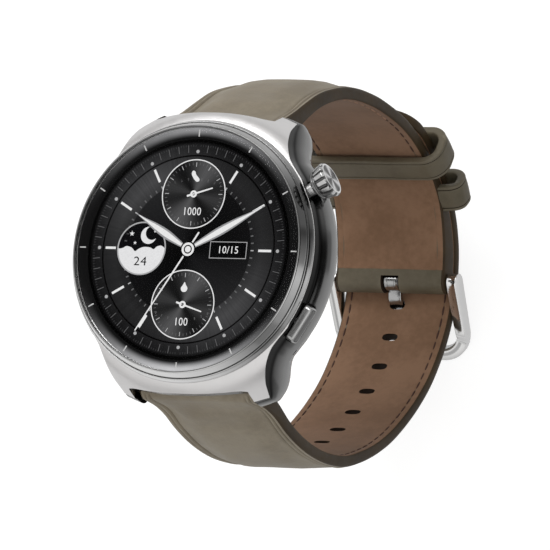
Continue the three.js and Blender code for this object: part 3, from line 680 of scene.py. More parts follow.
stations = np.vstack([quarter, mirrored(quarter[::-1], -1, 1), mirrored(quarter[1:], -1, -1),
                      mirrored(quarter[::-1], 1, -1)[:-1]])
edge, wide, wide_z, lug = stations[:, 0:2], stations[:, 2:4], stations[:, 4], stations[:, 5]
edge_radius = np.linalg.norm(edge, axis=1)
edge_z = np.interp(edge_radius, *TOP_LINE.T)
outward = edge / edge_radius[:, None]
wide_out = wide / np.linalg.norm(wide, axis=1)[:, None]
around = len(stations)
rows, shade = [], []


def add_row(xy, z, tone):
    rows.append(np.column_stack([xy, np.broadcast_to(z, (around,))]))
    shade.append(np.broadcast_to(tone, (around,)).astype(float))


# radius, z of the inside wall
for r, z in ((SEAT, 1.2), (SEAT, 2.4), (17.9, 2.4), (17.9, 3.4), (19.6, 3.4), (19.6, 8.5),
             (22.32, 8.5), (22.32, 8.93)):
    add_row(outward * r, z, 0.8)
inside_rows = len(rows)
for t in np.linspace(0, 1, 15) ** 0.9:
    xy = outward * 22.88 * (1 - t) + edge * t
    add_row(xy, np.interp(np.linalg.norm(xy, axis=1), *TOP_LINE.T), 1.0)
satin_rows = len(rows)
# flank: share of the drop against share of the way out, and the painted shade down it, a darkening of
# the colour that stands for dark reflections
FLANK = spline([(0, 0), (0.05, 0.035), (0.16, 0.055), (0.30, 0.09), (0.39, 0.21), (0.52, 0.52),
                (0.70, 0.82), (0.94, 1.0)], 4)
FLANK_SHADE = ([0, 0.06, 0.28, 0.36, 0.45, 0.62, 0.8, 1],
               [0.06, 0.002, 0.002, 0.02, 0.12, 0.22, 0.3, 0.36])
drop = (edge_z - wide_z) / 0.94
for down, out in FLANK[1:]:
    add_row(edge + (wide - edge) * out, edge_z - down * drop, np.interp(down, *FLANK_SHADE))
# turn under: inset and z on the round part; inset and share of the drop on the lugs
UNDERTURN = ((0.02, 3.75, 0.02, 0.2), (0.1, 3.0, 0.12, 0.45), (0.36, 2.42, 0.3, 0.68),
             (0.7, 2.0, 0.55, 0.86), (1.2, 1.6, 0.9, 0.96), (1.8, 1.35, 1.3, 1.0),
             (3.0, 1.2, 2.0, 1.0))
# the under-turn rows and the rows under the case get a fixed painted shade
for round_inset, round_z, lug_inset, share in UNDERTURN:
    inset = round_inset * (1 - lug) + lug_inset * lug
    xy = wide - wide_out * inset[:, None]
    under_z = np.interp(np.linalg.norm(xy, axis=1), *UNDER_LINE.T)
    add_row(xy, round_z * (1 - lug) + (wide_z + (under_z - wide_z) * share) * lug, 0.34)
rim = rows[-1][:, :2]
for t in (0.3, 0.6, 0.85):
    xy = rim * (1 - t) + outward * SEAT * t
    under_z = np.interp(np.linalg.norm(xy, axis=1), *UNDER_LINE.T)
    add_row(xy, 1.2 * (1 - lug) + under_z * lug, 0.4)
slots = np.repeat([2 if i < inside_rows else 0 if i < satin_rows - 1 else 1
                   for i in range(len(rows))], around).tolist()
case = Solid(grid(rows, loop=True), slots).build(
    "case_shell", ["satin_steel", "flank_steel", "shadow_steel"], 30,
    shade=np.concatenate(shade))

# space between the lugs, closed by the curved edge of the top face (x, y)
GAP_EDGE = [(LUG_GAP, 23.55), (10.6, 23.58), (9.6, 23.7), (7.3, 24.08), (4, 24.42), (0, 24.52)]
gap_line = spline(GAP_EDGE + [(-x, y) for x, y in GAP_EDGE[-2::-1]], 5).tolist()
gaps = Solid()
for side in (1, -1):
    outline = [(x, side * y) for x, y in gap_line]
    outline += [(-LUG_GAP, side * 32), (LUG_GAP, side * 32)]
    gaps.add(prism(outline[::side], -6, 12), 1)
# the cut faces between the lugs get flank steel with a painted shade of 0.25
carve(case, "carve_z", gaps, 30, shade=0.25)

# room for the rounded strap ends, and the undercut outside them (y, z)
UNDERCUT = [(22.0, 1.2), (27, -6), (27, 4.8), (25.4, 6.4), (24.3, 5.6), (23.6, 4.4), (23.0, 3.0)]
for side in (1, -1):
    hollow = bar_x(circle(2.85, 40, side * BAR_Y, BAR_Z), -LUG_GAP, LUG_GAP)
    carve(case, "carve_p", Solid(hollow, 2), 30)
    undercut = bar_x([(side * y, z) for y, z in UNDERCUT], -11.39, 11.39)
    carve(case, "carve_q", Solid(undercut, 2), 30)

# recesses and bores for crown and button, then three small holes: shape, angle, z
SIDE_HOLES = (
    (disc(2.98, 24.0, 30), CROWN_ANGLE, CROWN_Z), (disc(1.22, 17, 30, count=24), CROWN_ANGLE, CROWN_Z),
    (prism(rounded_rect(7.3, 2.9, 0.75), 22.7, 30), BUTTON_ANGLE, BUTTON_Z),
    (disc(0.95, 17, 30, count=24), BUTTON_ANGLE, BUTTON_Z),
    (disc(0.45, 17, 30, count=20), 176, 5.6), (disc(0.45, 17, 30, count=20), 184, 5.6),
    (disc(0.3, 17, 30, count=16), 150, 5.6))
for shape, angle, z in SIDE_HOLES:
    carve(case, "carve_r", Solid(radial(shape, angle, z), 2), 30)
for side in (1, -1):
    for x in (11.0, -12.6):
        socket = bar_x(circle(0.66, 20, side * BAR_Y, BAR_Z), x, x + 1.6)
        carve(case, "carve_h", Solid(socket, 2), 30)
place(case, "case", "satin_steel", "case_body")

# ------------------------------------------------------------------ bezel and glass
# polished double ring round the glass (radius, z)
profile = spline([(22.3, 8.98), (22.84, 8.98), (22.93, 9.08), (22.9, 9.45), (22.72, 9.9),
                  (22.5, 10.22), (22.42, 10.26)], 3).tolist()
profile += [(22.38, 10.18), (22.3, 10.16), (22.27, 10.22)]
profile += spline([(22.27, 10.3), (22.2, 10.6), (22.02, 11.1), (21.8, 11.6), (21.66, 11.86),
                   (21.52, 11.98), (21.4, 12.0), (21.32, 11.94)], 3).tolist()
profile += [(21.28, 11.2), (21.28, 11.0), (20.4, 11.0), (20.4, 8.6), (22.3, 8.6)]
# the groove between the rings and the lip at the glass are dark
dark = [int((22.25 < r < 22.44 and 10.15 < z < 10.27) or (21.2 < r < 21.56 and z > 11.5))
        for r, z in profile]
# degrees round the ring, and the painted shade there: dark reflections painted into the bezel's colour
BEZEL_SHADE = ([-180, -125, -95, -70, -50, -30, -12, 8, 28, 50, 75, 105, 135, 180],
               [1.0, 1.0, 1.0, 0.8, 0.34, 0.4, 0.7, 0.12, 0.12, 0.5, 0.5, 0.8, 0.9, 1.0])
BEZEL_COUNT = 320
degrees = np.degrees(np.linspace(0, TAU, BEZEL_COUNT, endpoint=False))
tone = np.interp(np.where(degrees > 180, degrees - 360, degrees), *BEZEL_SHADE)
bezel = Solid(revolve(profile, BEZEL_COUNT), np.repeat(dark, BEZEL_COUNT).tolist())
place(bezel.build("bezel", ["bezel_steel", "shadow_steel"], 40, shade=np.tile(tone, len(profile))),
      "case", "polished_steel", "bezel_ring")

# clear disc with a softly bevelled edge
CRYSTAL = [(0, 11.2), (10, 11.2), (19.5, 11.2), (21.2, 11.2), (21.2, 11.8), (21.1, 11.98),
           (20.9, 12.12), (20.6, 12.22), (20.2, 12.28), (19.6, 12.3), (10, 12.3), (0, 12.3)]
crystal = Solid(revolve(CRYSTAL))
coat = np.interp([hypot(x, y) for x, y, z in crystal.verts],
                 [0, 19.8, 20.6, 21.2], [0.12, 0.12, 0.2, 0.35])
place(crystal.build("crystal_lens", "crystal_glass", 60, coat=coat),
      "case", "crystal_glass", "crystal")

# sloping ring under the edge of the glass, with twelve ticks
CHAPTER = [(19.22, 10.5), (20.35, 10.5), (20.35, 11.03), (21.16, 11.03), (21.16, 11.17),
           (20.4, 11.15), (19.6, 11.08), (19.22, 11.04)]
place(Solid(revolve(CHAPTER)).build("chapter_band", "chapter_ring", 40),
      "case", "mask_black", "chapter_ring", "crystal_gasket")
ticks = Solid()
for k in range(12):
    ticks.add(prism(spoke(19.65, 20.75, 30 * k, 0.22), 11.06, 11.185))
place(ticks.build("chapter_ticks", "ring_tick"), "case", "mask_black")

# ------------------------------------------------------------------ dial
# heights of the layers, from the face up to the top of the hands
Z_FACE, Z_FLAT, Z_MARK, Z_HAND, Z_TOP = 11.015, 11.035, 11.055, 11.085, 11.12

face = revolve([(0, 10.45), (19.2, 10.45), (19.2, 11.0), (19.1, 11.02), (0, 11.02)], 192)
place(Solid(face).build("dial_face", "dial_base"), "case", "display_black", "display_panel")

marks = Solid()
for k in range(60):
    if k % 5:
        marks.add(prism(spoke(16.9, 18.2, 6 * k, 0.1), Z_FACE, Z_FLAT), DIM)
    else:
        turn = rad(6 * k)
        marks.add(disc(0.3, Z_FACE, Z_MARK, 17.05 * sin(turn), 17.05 * cos(turn), 20), MID)
for k in range(240):
    if k % 4:
        marks.add(prism(spoke(17.9, 18.25, 1.5 * k, 0.06), Z_FACE, Z_FLAT), FAINT)
for hour in range(12):
    if hour in (0, 6):
        continue
    inner = 13.9 if hour == 9 else 13.4
    marks.add(prism(spoke(inner, 15.85, 30 * hour, 0.42), Z_FACE, Z_MARK), WHITE)
    if hour != 9:
        marks.add(prism(spoke(11.95, 12.5, 30 * hour, 0.2), Z_FACE, Z_MARK), MID)
for k in range(60):
    if k % 5:
        marks.add(prism(spoke(11.95, 12.45, 6 * k, 0.22), Z_FACE, Z_FLAT), DIM)
place(marks.build("dial_marks", MARKS), "case", "display_black")

# name, centre y, degrees of the hand, its length
for name, y, degrees, reach in (("sub_dial_top", SUB_TOP_Y, 73, 3.7),
                                ("sub_dial_low", SUB_LOW_Y, 107.5, 3.9)):
    sub = Solid(disc(6.05, Z_FACE, Z_FLAT, 0, y, 96), len(MARKS))
    sub.add(annulus(5.88, 6.06, Z_FLAT - 0.01, Z_MARK, y), WHITE)
    for k in range(48):
        inner, width, slot = (5.05, 0.08, DIM) if k % 4 else (4.75, 0.13, MID)
        sub.add(prism(spoke(inner, 5.5, 7.5 * k, width, y), Z_FLAT - 0.01, Z_MARK), slot)
    sub.add(prism(spoke(-1.3, reach, degrees, 0.34, y, tip=0.22), Z_MARK, Z_HAND), WHITE)
    sub.add(annulus(0.28, 0.62, Z_MARK, Z_HAND + 0.01, y, count=40), WHITE)
    sub.add(disc(0.3, Z_MARK, Z_HAND, 0, y, 32), BLACK)
    place(sub.build(name, MARKS + [name]), "case", "display_black")

# a slanted sole shape on the upper small dial and a drop on the lower one
SOLE = [(-0.55, 1.0), (-0.1, 0.85), (0.1, 0.35), (0.75, -0.35), (0.8, -0.75), (0.3, -0.9),
        (-0.35, -0.3), (-0.75, 0.45)]
DROP = [(0.0, 1.1), (0.35, 0.5), (0.75, -0.15), (0.55, -0.8), (0, -1.0), (-0.55, -0.8),
        (-0.75, -0.15), (-0.35, 0.5)]
icons = Solid()
for outline, size, y0 in ((SOLE, 1.0, SUB_TOP_Y + 3.05), (DROP, 0.82, SUB_LOW_Y + 3.0)):
    points = [(x * size, y0 + y * size) for x, y in spline(outline, 6, closed=True)]
    icons.add(prism(points, Z_FLAT, Z_MARK), WHITE)
place(icons.build("dial_icons", MARKS), "case", "display_black")

# round window at the left: night sky over clouds
WINDOW_X, SKY_R = -8.95, 4.42
CLOUD_TOP = [(SKY_R * 0.999, 0.15), (3.7, 0.55), (2.9, 0.35), (2.35, -0.1), (1.6, 0.2),
             (0.4, 0.25), (-0.55, -0.1), (-1.2, -0.5), (-1.9, 0.1), (-2.9, 0.35), (-3.6, 0.0),
             (-SKY_R * 0.999, -0.15)]
night = Solid(disc(4.5, Z_FACE, Z_FLAT, WINDOW_X, 0, 96), NIGHT)
night.add(annulus(SKY_R, 4.66, Z_FLAT - 0.01, Z_MARK, x=WINDOW_X), MID)
clouds = arc(SKY_R, 180, 360, 40, WINDOW_X)
clouds += spline([(WINDOW_X + x, y) for x, y in CLOUD_TOP], 5).tolist()
MOON_X, MOON_Y = WINDOW_X + 1.15, 2.3
moon = arc(1.5, 88, 340.2, 36, MOON_X, MOON_Y)
moon += arc(1.22, 297.8, 130.4, 28, MOON_X + 0.62, MOON_Y + 0.42)
pictures = [clouds, moon]
# stars: x from the window's centre, y, radius
for star_x, star_y, size in ((-2.1, 2.55, 0.5), (-1.35, 0.95, 0.34), (2.3, 3.0, 0.26)):
    radii = [size, size * 0.42] * 5
    pictures.append([(WINDOW_X + star_x + r * sin(k * pi / 5), star_y + r * cos(k * pi / 5))
                     for k, r in enumerate(radii)])
for outline in pictures:
    night.add(prism(outline, Z_FLAT - 0.01, Z_MARK), CLOUD)
place(night.build("night_window", MARKS), "case", "display_black")

# date frame at the right: a light plate under a dark one
DATE_X = 7.65
date = Solid()
for width, height, slot, z0, z1 in ((7.05, 2.95, MID, Z_FACE, Z_FLAT),
                                    (6.8, 2.7, BLACK, Z_FLAT - 0.005, Z_FLAT + 0.01)):
    corners = ((-1, -1), (1, -1), (1, 1), (-1, 1))
    date.add(prism([(DATE_X + x * width / 2, y * height / 2) for x, y in corners], z0, z1), slot)
place(date.build("date_frame", MARKS), "case", "display_black")


def figures(name, text, x, y, size, mat, stretch):
    """Flat numerals; stretch widens or narrows them."""
    curve = bpy.data.curves.new(name, "FONT")
    curve.body, curve.size, curve.align_x, curve.align_y = text, size * MM, "CENTER", "CENTER"
    curve.extrude, curve.resolution_u, curve.space_character = 0.012 * MM, 4, 1.08
    source = link(name + "_t", curve)
    mesh = evaluated_mesh(source)
    bpy.data.objects.remove(source)
    mesh.transform(Matrix.Translation((x * MM, y * MM, Z_MARK * MM))
                   @ Matrix.Diagonal((stretch, 1, 1, 1)))
    tidy(mesh, merge=1e-7)
    mesh.materials.clear()
    mesh.materials.append(MATERIALS[mat])
    place(link(name, mesh), "case", "display_black")


# name, text, x, y, size, material, stretch
FIGURES = (
    ("figures_top", "1000", 0.0, SUB_TOP_Y - 3.1, 1.95, "mark_white", 0.86),
    ("figures_low", "100", 0.0, SUB_LOW_Y - 3.05, 1.95, "mark_white", 0.86),
    ("figures_date", "10/15", DATE_X, -0.02, 1.8, "mark_white", 0.92),
    ("figures_window", "24", WINDOW_X, -2.3, 2.2, "mark_black", 1.12))
for values in FIGURES:
    figures(*values)


def leaf(length, degrees, width, foot):
    """Outlines of the two halves of a leaf-shaped hand."""
    s, c = sin(rad(degrees)), cos(rad(degrees))
    halves = []
    for side in (1, -1):
        # share of the length, share of the width
        edge_line = [(foot + (length - foot) * along, side * width * out) for along, out in
                     ((0, 0.22), (0.12, 0.34), (0.36, 0.5), (0.6, 0.4), (0.82, 0.17))]
        edge_line.append((length, side * 0.07))
        outline = [(foot, 0)] + spline(edge_line, 5).tolist() + [(length, 0)]
        halves.append([(u * s + v * c, u * c - v * s) for u, v in outline])
    return halves


hands = Solid()
# length, degrees, width
for length, degrees, width in ((12.0, 300, 1.75), (15.8, 60.5, 1.7)):
    for half in leaf(length, degrees, width * 0.92, foot=1.2):
        hands.add(prism(half, Z_HAND, Z_TOP - 0.008), SHADE)
    bright = leaf(length - 0.5, degrees, width * 0.56, foot=1.5)
    for half, top in zip(bright, (Z_TOP, Z_TOP - 0.003)):
        hands.add(prism(half, Z_HAND, top), WHITE)
# thin hand, then the hub
hands.add(prism(spoke(-3.5, 0.0, 211, 0.3), Z_TOP, Z_TOP + 0.02), WHITE)
hands.add(prism(spoke(0.0, 16.7, 211, 0.3, tip=0.2), Z_TOP, Z_TOP + 0.02), WHITE)
hands.add(disc(1.42, Z_HAND, Z_TOP + 0.022), BLACK)
hands.add(annulus(0.78, 1.18, Z_TOP, Z_TOP + 0.034, count=48), WHITE)
hands.add(disc(0.55, Z_TOP, Z_TOP + 0.034, count=40), WHITE)
place(hands.build("hands", MARKS), "case", "display_black")

# ------------------------------------------------------------------ crown
FLUTES, PER_FLUTE = 14, 14
# distance out, radius, depth of the flutes as a share of the radius
CROWN = [
    (24.46, 1.6, 0), (24.46, 2.2, 0), (24.54, 2.34, 0), (24.75, 2.4, 0), (24.86, 2.36, 0),
    (24.95, 2.2, 0), (25.06, 2.18, 0), (25.12, 2.3, 0.02), (25.2, 2.5, 0.07),
    (25.4, 2.62, 0.105), (25.8, 2.72, 0.11), (26.2, 2.81, 0.11), (26.6, 2.9, 0.11),
    (26.9, 2.96, 0.11), (27.08, 2.98, 0.10), (27.2, 2.95, 0.07), (27.32, 2.86, 0.02),
    (27.4, 2.78, 0), (27.55, 2.7, 0), (27.6, 2.6, 0), (27.6, 2.48, 0), (27.53, 2.42, 0),
    (27.5, 2.3, 0), (27.53, 1.2, 0), (27.54, 0.12, 0)]
turns = np.linspace(0, TAU, FLUTES * PER_FLUTE, endpoint=False)
phase = (turns * FLUTES / TAU) % 1.0
valley = smooth_step(phase, 0.52, 0.66) * (1 - smooth_step(phase, 0.86, 1.0))
rings = []
for out, radius, depth in CROWN:
    radius *= 1 + 0.055 * float(smooth_step(out, 25.05, 25.3))
    fluted = radius * (1 - depth * valley)
    rings.append(np.column_stack([fluted * np.cos(turns), fluted * np.sin(turns),
                                  np.full(len(turns), out)]))


def crown_slot(row, deep):
    """Neck dark with painted shade, knurled side with flutes dark with painted shade, polished rim,
    groove and turned end face.
    """
    if row < 7:
        return 4
    if row <= 17:
        return 3 if deep > 0.25 else 0
    if row <= 20:
        return 2 if row < len(CROWN) - 4 else 1
    return 1


slots = [crown_slot(i, deep) for i in range(len(CROWN) - 1) for deep in valley] + [0, 1]
crown = Solid(radial(grid(rings), CROWN_ANGLE, CROWN_Z), slots).build(
    "crown_knob",
    ["knurled_steel", "crown_face", "polished_steel", "knurl_valley_shade", "shadow_steel"], 42)
place(crown, "crown", "satin_steel", "crown_cap")

# ------------------------------------------------------------------ side button
# distance out, inset
BUTTON = [(23.2, 0.0), (24.26, 0.0), (24.42, 0.03), (24.53, 0.1), (24.58, 0.2), (24.58, 0.3),
          (24.5, 0.34), (24.48, 0.38), (24.55, 0.42), (24.66, 0.48), (24.73, 0.6), (24.76, 0.76),
          (24.77, 1.0)]
rings = [[(x, y, out) for x, y in
          rounded_rect(7.0 - 2 * inset, 2.3 - 2 * inset, max(0.1, 0.8 - inset), 6)]
         for out, inset in BUTTON]
# polished side in the darker tang steel (painted dark reflection), dark groove, frosted face darkened
# by painted shade, then the two caps
slots = np.repeat([0] * 5 + [2] * 3 + [1] * 4, len(rings[0])).tolist() + [2, 1]
button = Solid(radial(grid(rings), BUTTON_ANGLE, BUTTON_Z), slots)
button.add(radial(disc(0.8, 16.6, 23.3, count=24), BUTTON_ANGLE, BUTTON_Z))
place(button.build("side_button_cap", ["tang_steel", "frosted_steel_shaded", "shadow_steel"], 40),
      "side_button", "polished_steel", "button_cap")

# ------------------------------------------------------------------ strap centre lines
# y, z, half thickness; the short strap leaves from +Y, the long one from -Y
SHORT = [
    [22.7, 0.8, 2.0], [25.0, -2.9, 1.75], [28.1, -7.6, 1.4], [30.75, -12.2, 1.25],
    [32.6, -16.8, 1.15], [34.0, -21.6, 1.1], [34.8, -26.6, 1.1], [35.05, -31.8, 1.1],
    [34.98, -36.3, 1.1], [34.022, -44.806, 1.1], [33.08, -48.885, 1.1], [31.717, -52.844, 1.1],
    [29.783, -56.946, 1.1], [27.396, -60.803, 1.1], [23.7, -65.0, 1.3], [19.5, -67.9, 1.8],
    [14.6, -69.75, 2.1], [*BUCKLE, 2.1]]
LONG = [
    [-22.7, 0.8, 2.0], [-23.3, -3.2, 1.75], [-24.6, -7.6, 1.4], [-26.4, -12.0, 1.2],
    [-27.9, -17.0, 1.1], [-28.8, -22.0, 1.05], [-29.2, -27.0, 1.0], [-29.1, -31.5, 1.0],
    [-28.4, -37.0, 1.0], [-26.9, -42.0, 1.0], [-24.8, -47.3, 1.0], [-21.6, -53.3, 1.0],
    [-17.9, -58.4, 1.0], [-13.9, -62.9, 1.0], [-9.7, -66.7, 1.0], [-5.3, -69.6, 1.0],
    [-0.9, -71.8, 1.0], [3.8, -73.3, 1.0]]
LAP_GAP, LAP_HALF = 0.35, 1.0       # gap under the lapped long strap, its half thickness
COARSE, FINE = 2.8, 0.4             # sampling steps of the centre lines


def centripetal(control, samples=600):
    """Centripetal Catmull-Rom through the control rows."""
    p = np.array(control, float)
    q = np.vstack([2 * p[0] - p[1], p, 2 * p[-1] - p[-2]])
    out = []
    for k in range(samples + 1):
        t = k / samples * (len(p) - 1)
        i = min(int(t), len(p) - 2)
        w = t - i
        p0, p1, p2, p3 = q[i:i + 4]
        d = [max(np.linalg.norm(b - a), 1e-4) ** 0.5 for a, b in ((p0, p1), (p1, p2), (p2, p3))]
        t1 = ((p1 - p0) / d[0] - (p2 - p0) / (d[0] + d[1]) + (p2 - p1) / d[1]) * d[1]
        t2 = ((p2 - p1) / d[1] - (p3 - p1) / (d[1] + d[2]) + (p3 - p2) / d[2]) * d[1]
        out.append(p1 + t1 * w + (-3 * p1 + 3 * p2 - 2 * t1 - t2) * w * w
                   + (2 * p1 - 2 * p2 + t1 + t2) * w ** 3)
    return np.array(out)


class Path:
    """A centre line sampled by length; side turns its normals away from the wrist."""

    def __init__(self, control, side, step):
        rows = centripetal(control)
        lengths = np.linalg.norm(np.diff(rows[:, :2], axis=0), axis=1)
        s = np.concatenate([[0], np.cumsum(lengths)])
        self.s = np.linspace(0, s[-1], round(s[-1] / step) + 1)
        self.rows = np.column_stack([np.interp(self.s, s, rows[:, k]) for k in range(3)])
        self.len = self.s[-1]
        before = np.vstack([self.rows[:1], self.rows[:-1]])
        after = np.vstack([self.rows[1:], self.rows[-1:]])
        way = (after - before)[:, :2]
        way /= np.linalg.norm(way, axis=1)[:, None]
        self.way = way
        self.normals = side * np.column_stack([-way[:, 1], way[:, 0]])

    def at(self, s):
        """Centre, half thickness, outward normal and tangent; straight past either end."""
        inside = min(max(s, 0), self.len)
        row, normal, way = [
            np.array([np.interp(inside, self.s, column) for column in values.T])
            for values in (self.rows, self.normals, self.way)]
        normal /= np.linalg.norm(normal)
        way /= np.linalg.norm(way)
        return row[:2] + way * (s - inside), row[2], normal, way


# the long strap goes on over the short one, back from the buckle
coarse_short = Path(SHORT, 1, COARSE)
lap = [(row[:2] + normal * (row[2] + LAP_GAP + LAP_HALF)).tolist() + [LAP_HALF]
       for s, row, normal in zip(coarse_short.s, coarse_short.rows, coarse_short.normals)
       if s > 49][::-1]
long_control = LONG + [row for row in lap if row[0] > 8.6]
short_path = Path(SHORT, 1, FINE)
long_path = Path(long_control, -1, FINE)

# ------------------------------------------------------------------ strap bodies
STRAP_MATS = ["outer_leather", "painted_edge", "keeper_leather_shaded", "cut_edge"]
LINING_MATS = ["lining_leather", "cut_edge"]
TONGUE = 8.5            # length of the pointed end of the long strap
PITCH = 0.45            # between stations along a strap
# distances in from the edge, for the outer face and for the lining
OUTER_STEPS = [0.0, 0.06, 0.18, 0.36, 0.58, 0.8, 0.92, 1.02, 1.12, 1.24, 1.4, 1.6, 1.74, 1.84,
               1.95, 2.08, 2.3, 2.7, 3.3, 4.2, 5.4, 6.8, 8.2, 9.4]
LINING_STEPS = (0.0, 0.05, 0.14, 0.3, 0.6, 0.85, 1.0, 1.12, 1.24, 1.4, 1.8, 3.0, 5.0, 7.0)
# dents near the lugs: x, s, depth, half length in x, half length in s
DENTS = ((8.3, 6.2, 0.34, 1.7, 3.2), (-8.3, 6.2, 0.34, 1.7, 3.2), (0.5, 4.2, 0.10, 6.5, 1.6))


def unevenness(x, s, seed):
    """Slow waviness of worked leather."""
    return (0.05 * sin(0.31 * s + 1.7 * seed) * cos(0.23 * x + 0.6 * seed)
            + 0.03 * sin(0.83 * s + 0.5 * x + seed))


def half_width(path, s, tongue, inset=0.0):
    w = (22.0 - 0.7 * min(1.0, max(0.0, s) / 60)) / 2 - inset
    left = path.len - inset - s
    if tongue and left < TONGUE:
        w *= max(0.0, 1 - (max(0.0, TONGUE - left) / TONGUE) ** 2.7) ** (1 / 2.4)
    return max(w, 0.02)


def tongue_stations(end, count):
    """Stations that crowd towards the tip."""
    return [end - TONGUE * (1 - t) ** 1.8 for t in np.linspace(0, 1, count)][:-1] + [end - 0.02]


def top_rise(u, x, s, seed):
    """Height of the outer face over the plain thickness, u from the edge."""
    near_lug = 1 - float(smooth_step(s, 22, 44))
    line = 1 - 0.35 * float(smooth_step(s, 40, 60))
    r = 0.6     # rounding of the edge
    z = -(r - sqrt(max(0.0, r * r - (r - min(u, r)) ** 2)))
    # two creases with a ridge between: height, place, breadth
    for height, middle, breadth in ((-0.30, 1.02, 0.13), (-0.34, 1.86, 0.18), (0.14, 1.43, 0.24)):
        z += height * line * exp(-((u - middle) / breadth) ** 2)
    z += ((0.08 + 1.1 * near_lug) * float(smooth_step(u, 1.7, 6.6))
          * float(smooth_step(s, -0.5, 8)))
    for dent_x, dent_s, depth, size_x, size_s in DENTS:
        z -= depth * exp(-((x - dent_x) / size_x) ** 2 - ((s - dent_s) / size_s) ** 2)
    return z + unevenness(x, s, seed) * min(1, u / 2.5)


def leather_body(name, path, folded, seed):
    """Outer leather, rounded over the bar; its far end is folded round or a tongue."""
    h0, h1 = path.at(0)[1], path.at(path.len)[1]
    stations = [-h0 * sin(a) for a in np.linspace(pi / 2 * 0.985, 0, 12)][:-1]
    stations += np.arange(0, path.len if folded else path.len - TONGUE, PITCH).tolist()
    if folded:
        stations += [path.len + h1 * sin(a) for a in np.linspace(0, pi / 2 * 0.985, 12)]
    else:
        stations += tongue_stations(path.len, 40)
    rings = []
    for s in stations:
        centre, h, normal, _ = path.at(s)
        squeeze = 1.0
        if s < 0:
            squeeze = sqrt(max(1e-4, 1 - (s / h0) ** 2))
        elif folded and s > path.len:
            squeeze = sqrt(max(1e-4, 1 - ((s - path.len) / h1) ** 2))
        w = half_width(path, s, not folded)
        scale = min(1.0, w / 9.6)

        def top_side(side):
            return [(side * (w - u), h + top_rise(u / max(scale, 0.2), side * (w - u), s, seed))
                    for u in (step * scale for step in OUTER_STEPS)]

        round_r = min(0.45, w * 0.4)
        flank = [(w + 0.03, h * 0.3), (w + 0.035, 0), (w + 0.03, -h * 0.4)]
        flank += [(w - round_r + round_r * cos(a), -h + round_r + round_r * sin(a))
                  for a in np.linspace(0, -pi / 2, 6)]
        ring = top_side(-1) + [(0, h + top_rise(10, 0, s, seed))] + top_side(1)[::-1] + flank
        ring += [(x * (w - round_r), -h) for x in (0.75, 0.5, 0.25, 0, -0.25, -0.5, -0.75)]
        ring += [(-x, z) for x, z in flank[::-1]]
        rings.append(across([(x, z * squeeze) for x, z in ring], centre, normal))
    tops = len(OUTER_STEPS) * 2 + 1
    # outer face in outer leather, underside in the darker keeper leather (painted shade), the rest
    # painted edge
    column = [0 if 3 <= j < tops - 4 else 2 if tops + 8 <= j < tops + 16 else 1
              for j in range(len(rings[0]))]
    slots = column * (len(rings) - 1) + [0, 0]
    return Solid(grid(rings), slots).build(name, STRAP_MATS, 60)


def lining_body(name, path, s0, s1, tongue, seed):
    """Thin lining on the wrist side."""
    lip = 0.4   # length over which an end thins out
    stations = [s0 + lip * (1 - cos(a)) for a in np.linspace(0, pi / 2, 5)][:-1]
    stations += np.arange(s0 + lip, s1 - (TONGUE if tongue else lip), PITCH).tolist()
    if tongue:
        stations += tongue_stations(s1, 36)
    else:
        stations += [s1 - lip + lip * sin(a) for a in np.linspace(0, pi / 2, 5)]
    rings = []
    for s in stations:
        centre, h, normal, _ = path.at(s)
        w = half_width(path, s, tongue, 0.3)
        squeeze = 1.0
        from_end = s - s0 if tongue else min(s - s0, s1 - s)
        if from_end < lip:
            squeeze = 0.35 + 0.65 * sqrt(max(0, 1 - ((lip - from_end) / lip) ** 2))
        high, low = -h + 0.3, -h - 0.07
        scale = min(1.0, w / 9.0)
        side = []
        for u in LINING_STEPS:
            z = low + (0.12 - sqrt(max(0.0, 0.12 ** 2 - (0.12 - min(u, 0.12)) ** 2)))
            z += 0.07 * exp(-((u - 1.12) / 0.14) ** 2)
            side.append((w - u * scale, z + unevenness(w - u, s, seed) * 0.5 * min(1, u)))
        ring = [(-w, high), (w, high)] + side + [(0, low + unevenness(0, s, seed) * 0.5)]
        ring += [(-x, z) for x, z in side[::-1]]
        rings.append(across([(x, high + (z - high) * squeeze) for x, z in ring],
                            centre, normal))
    return Solid(grid(rings)).build(name, LINING_MATS, 50)


def capsule(centre, way, up, length, half_wide, half_high):
    """One stitch."""
    way, up = np.asarray(way, float), np.asarray(up, float)
    side = np.cross(way, up)
    rings = []
    for a in np.linspace(-pi / 2, pi / 2, 7):
        size = max(0.05, cos(a)) ** 0.6
        rings.append([centre + way * (sin(a) * length / 2)
                      + (side * half_wide * c + up * half_high * s) * size
                      for c, s in circle(1.0, 8)])
    return grid(rings)


def stitches(name, path, s0, s1, mat, tongue=False):
    """A row of stitches along both edges of the lining."""
    out = Solid()
    s = s0
    while s < s1:
        centre, h, normal, way = path.at(s)
        w = half_width(path, s, tongue, 0.3) - 1.12
        for x in (-w, w):
            base = np.array([x, *(centre + normal * (-h - 0.05))])
            out.add(capsule(base, (0, *way), (0, *(-normal)), 1.75, 0.17, 0.13))
        s += 2.45
    return out.build(name, mat, 60)


short_outer = leather_body("short_strap_outer", short_path, True, 0)
long_outer = leather_body("long_strap_outer", long_path, False, 3)
short_lining = lining_body("short_strap_inner", short_path, 6.5, short_path.len - 1.9, False, 5)
long_lining = lining_body("long_strap_inner", long_path, 6.5, long_path.len, True, 7)

# slot for the tang in the fold
buckle_y, buckle_z = BUCKLE
carve(short_outer, "carve_s", Solid(bar_x(circle(2.3, 40, *BUCKLE), -1.75, 1.75), 3), 60)
outline = [BUCKLE, (buckle_y + 1.2, buckle_z - 3.9), (buckle_y + 4.2, buckle_z - 3.4),
           (buckle_y + 4.2, buckle_z - 0.9)]
carve(short_outer, "carve_t", Solid(bar_x(outline, -1.74, 1.74), 3), 60)
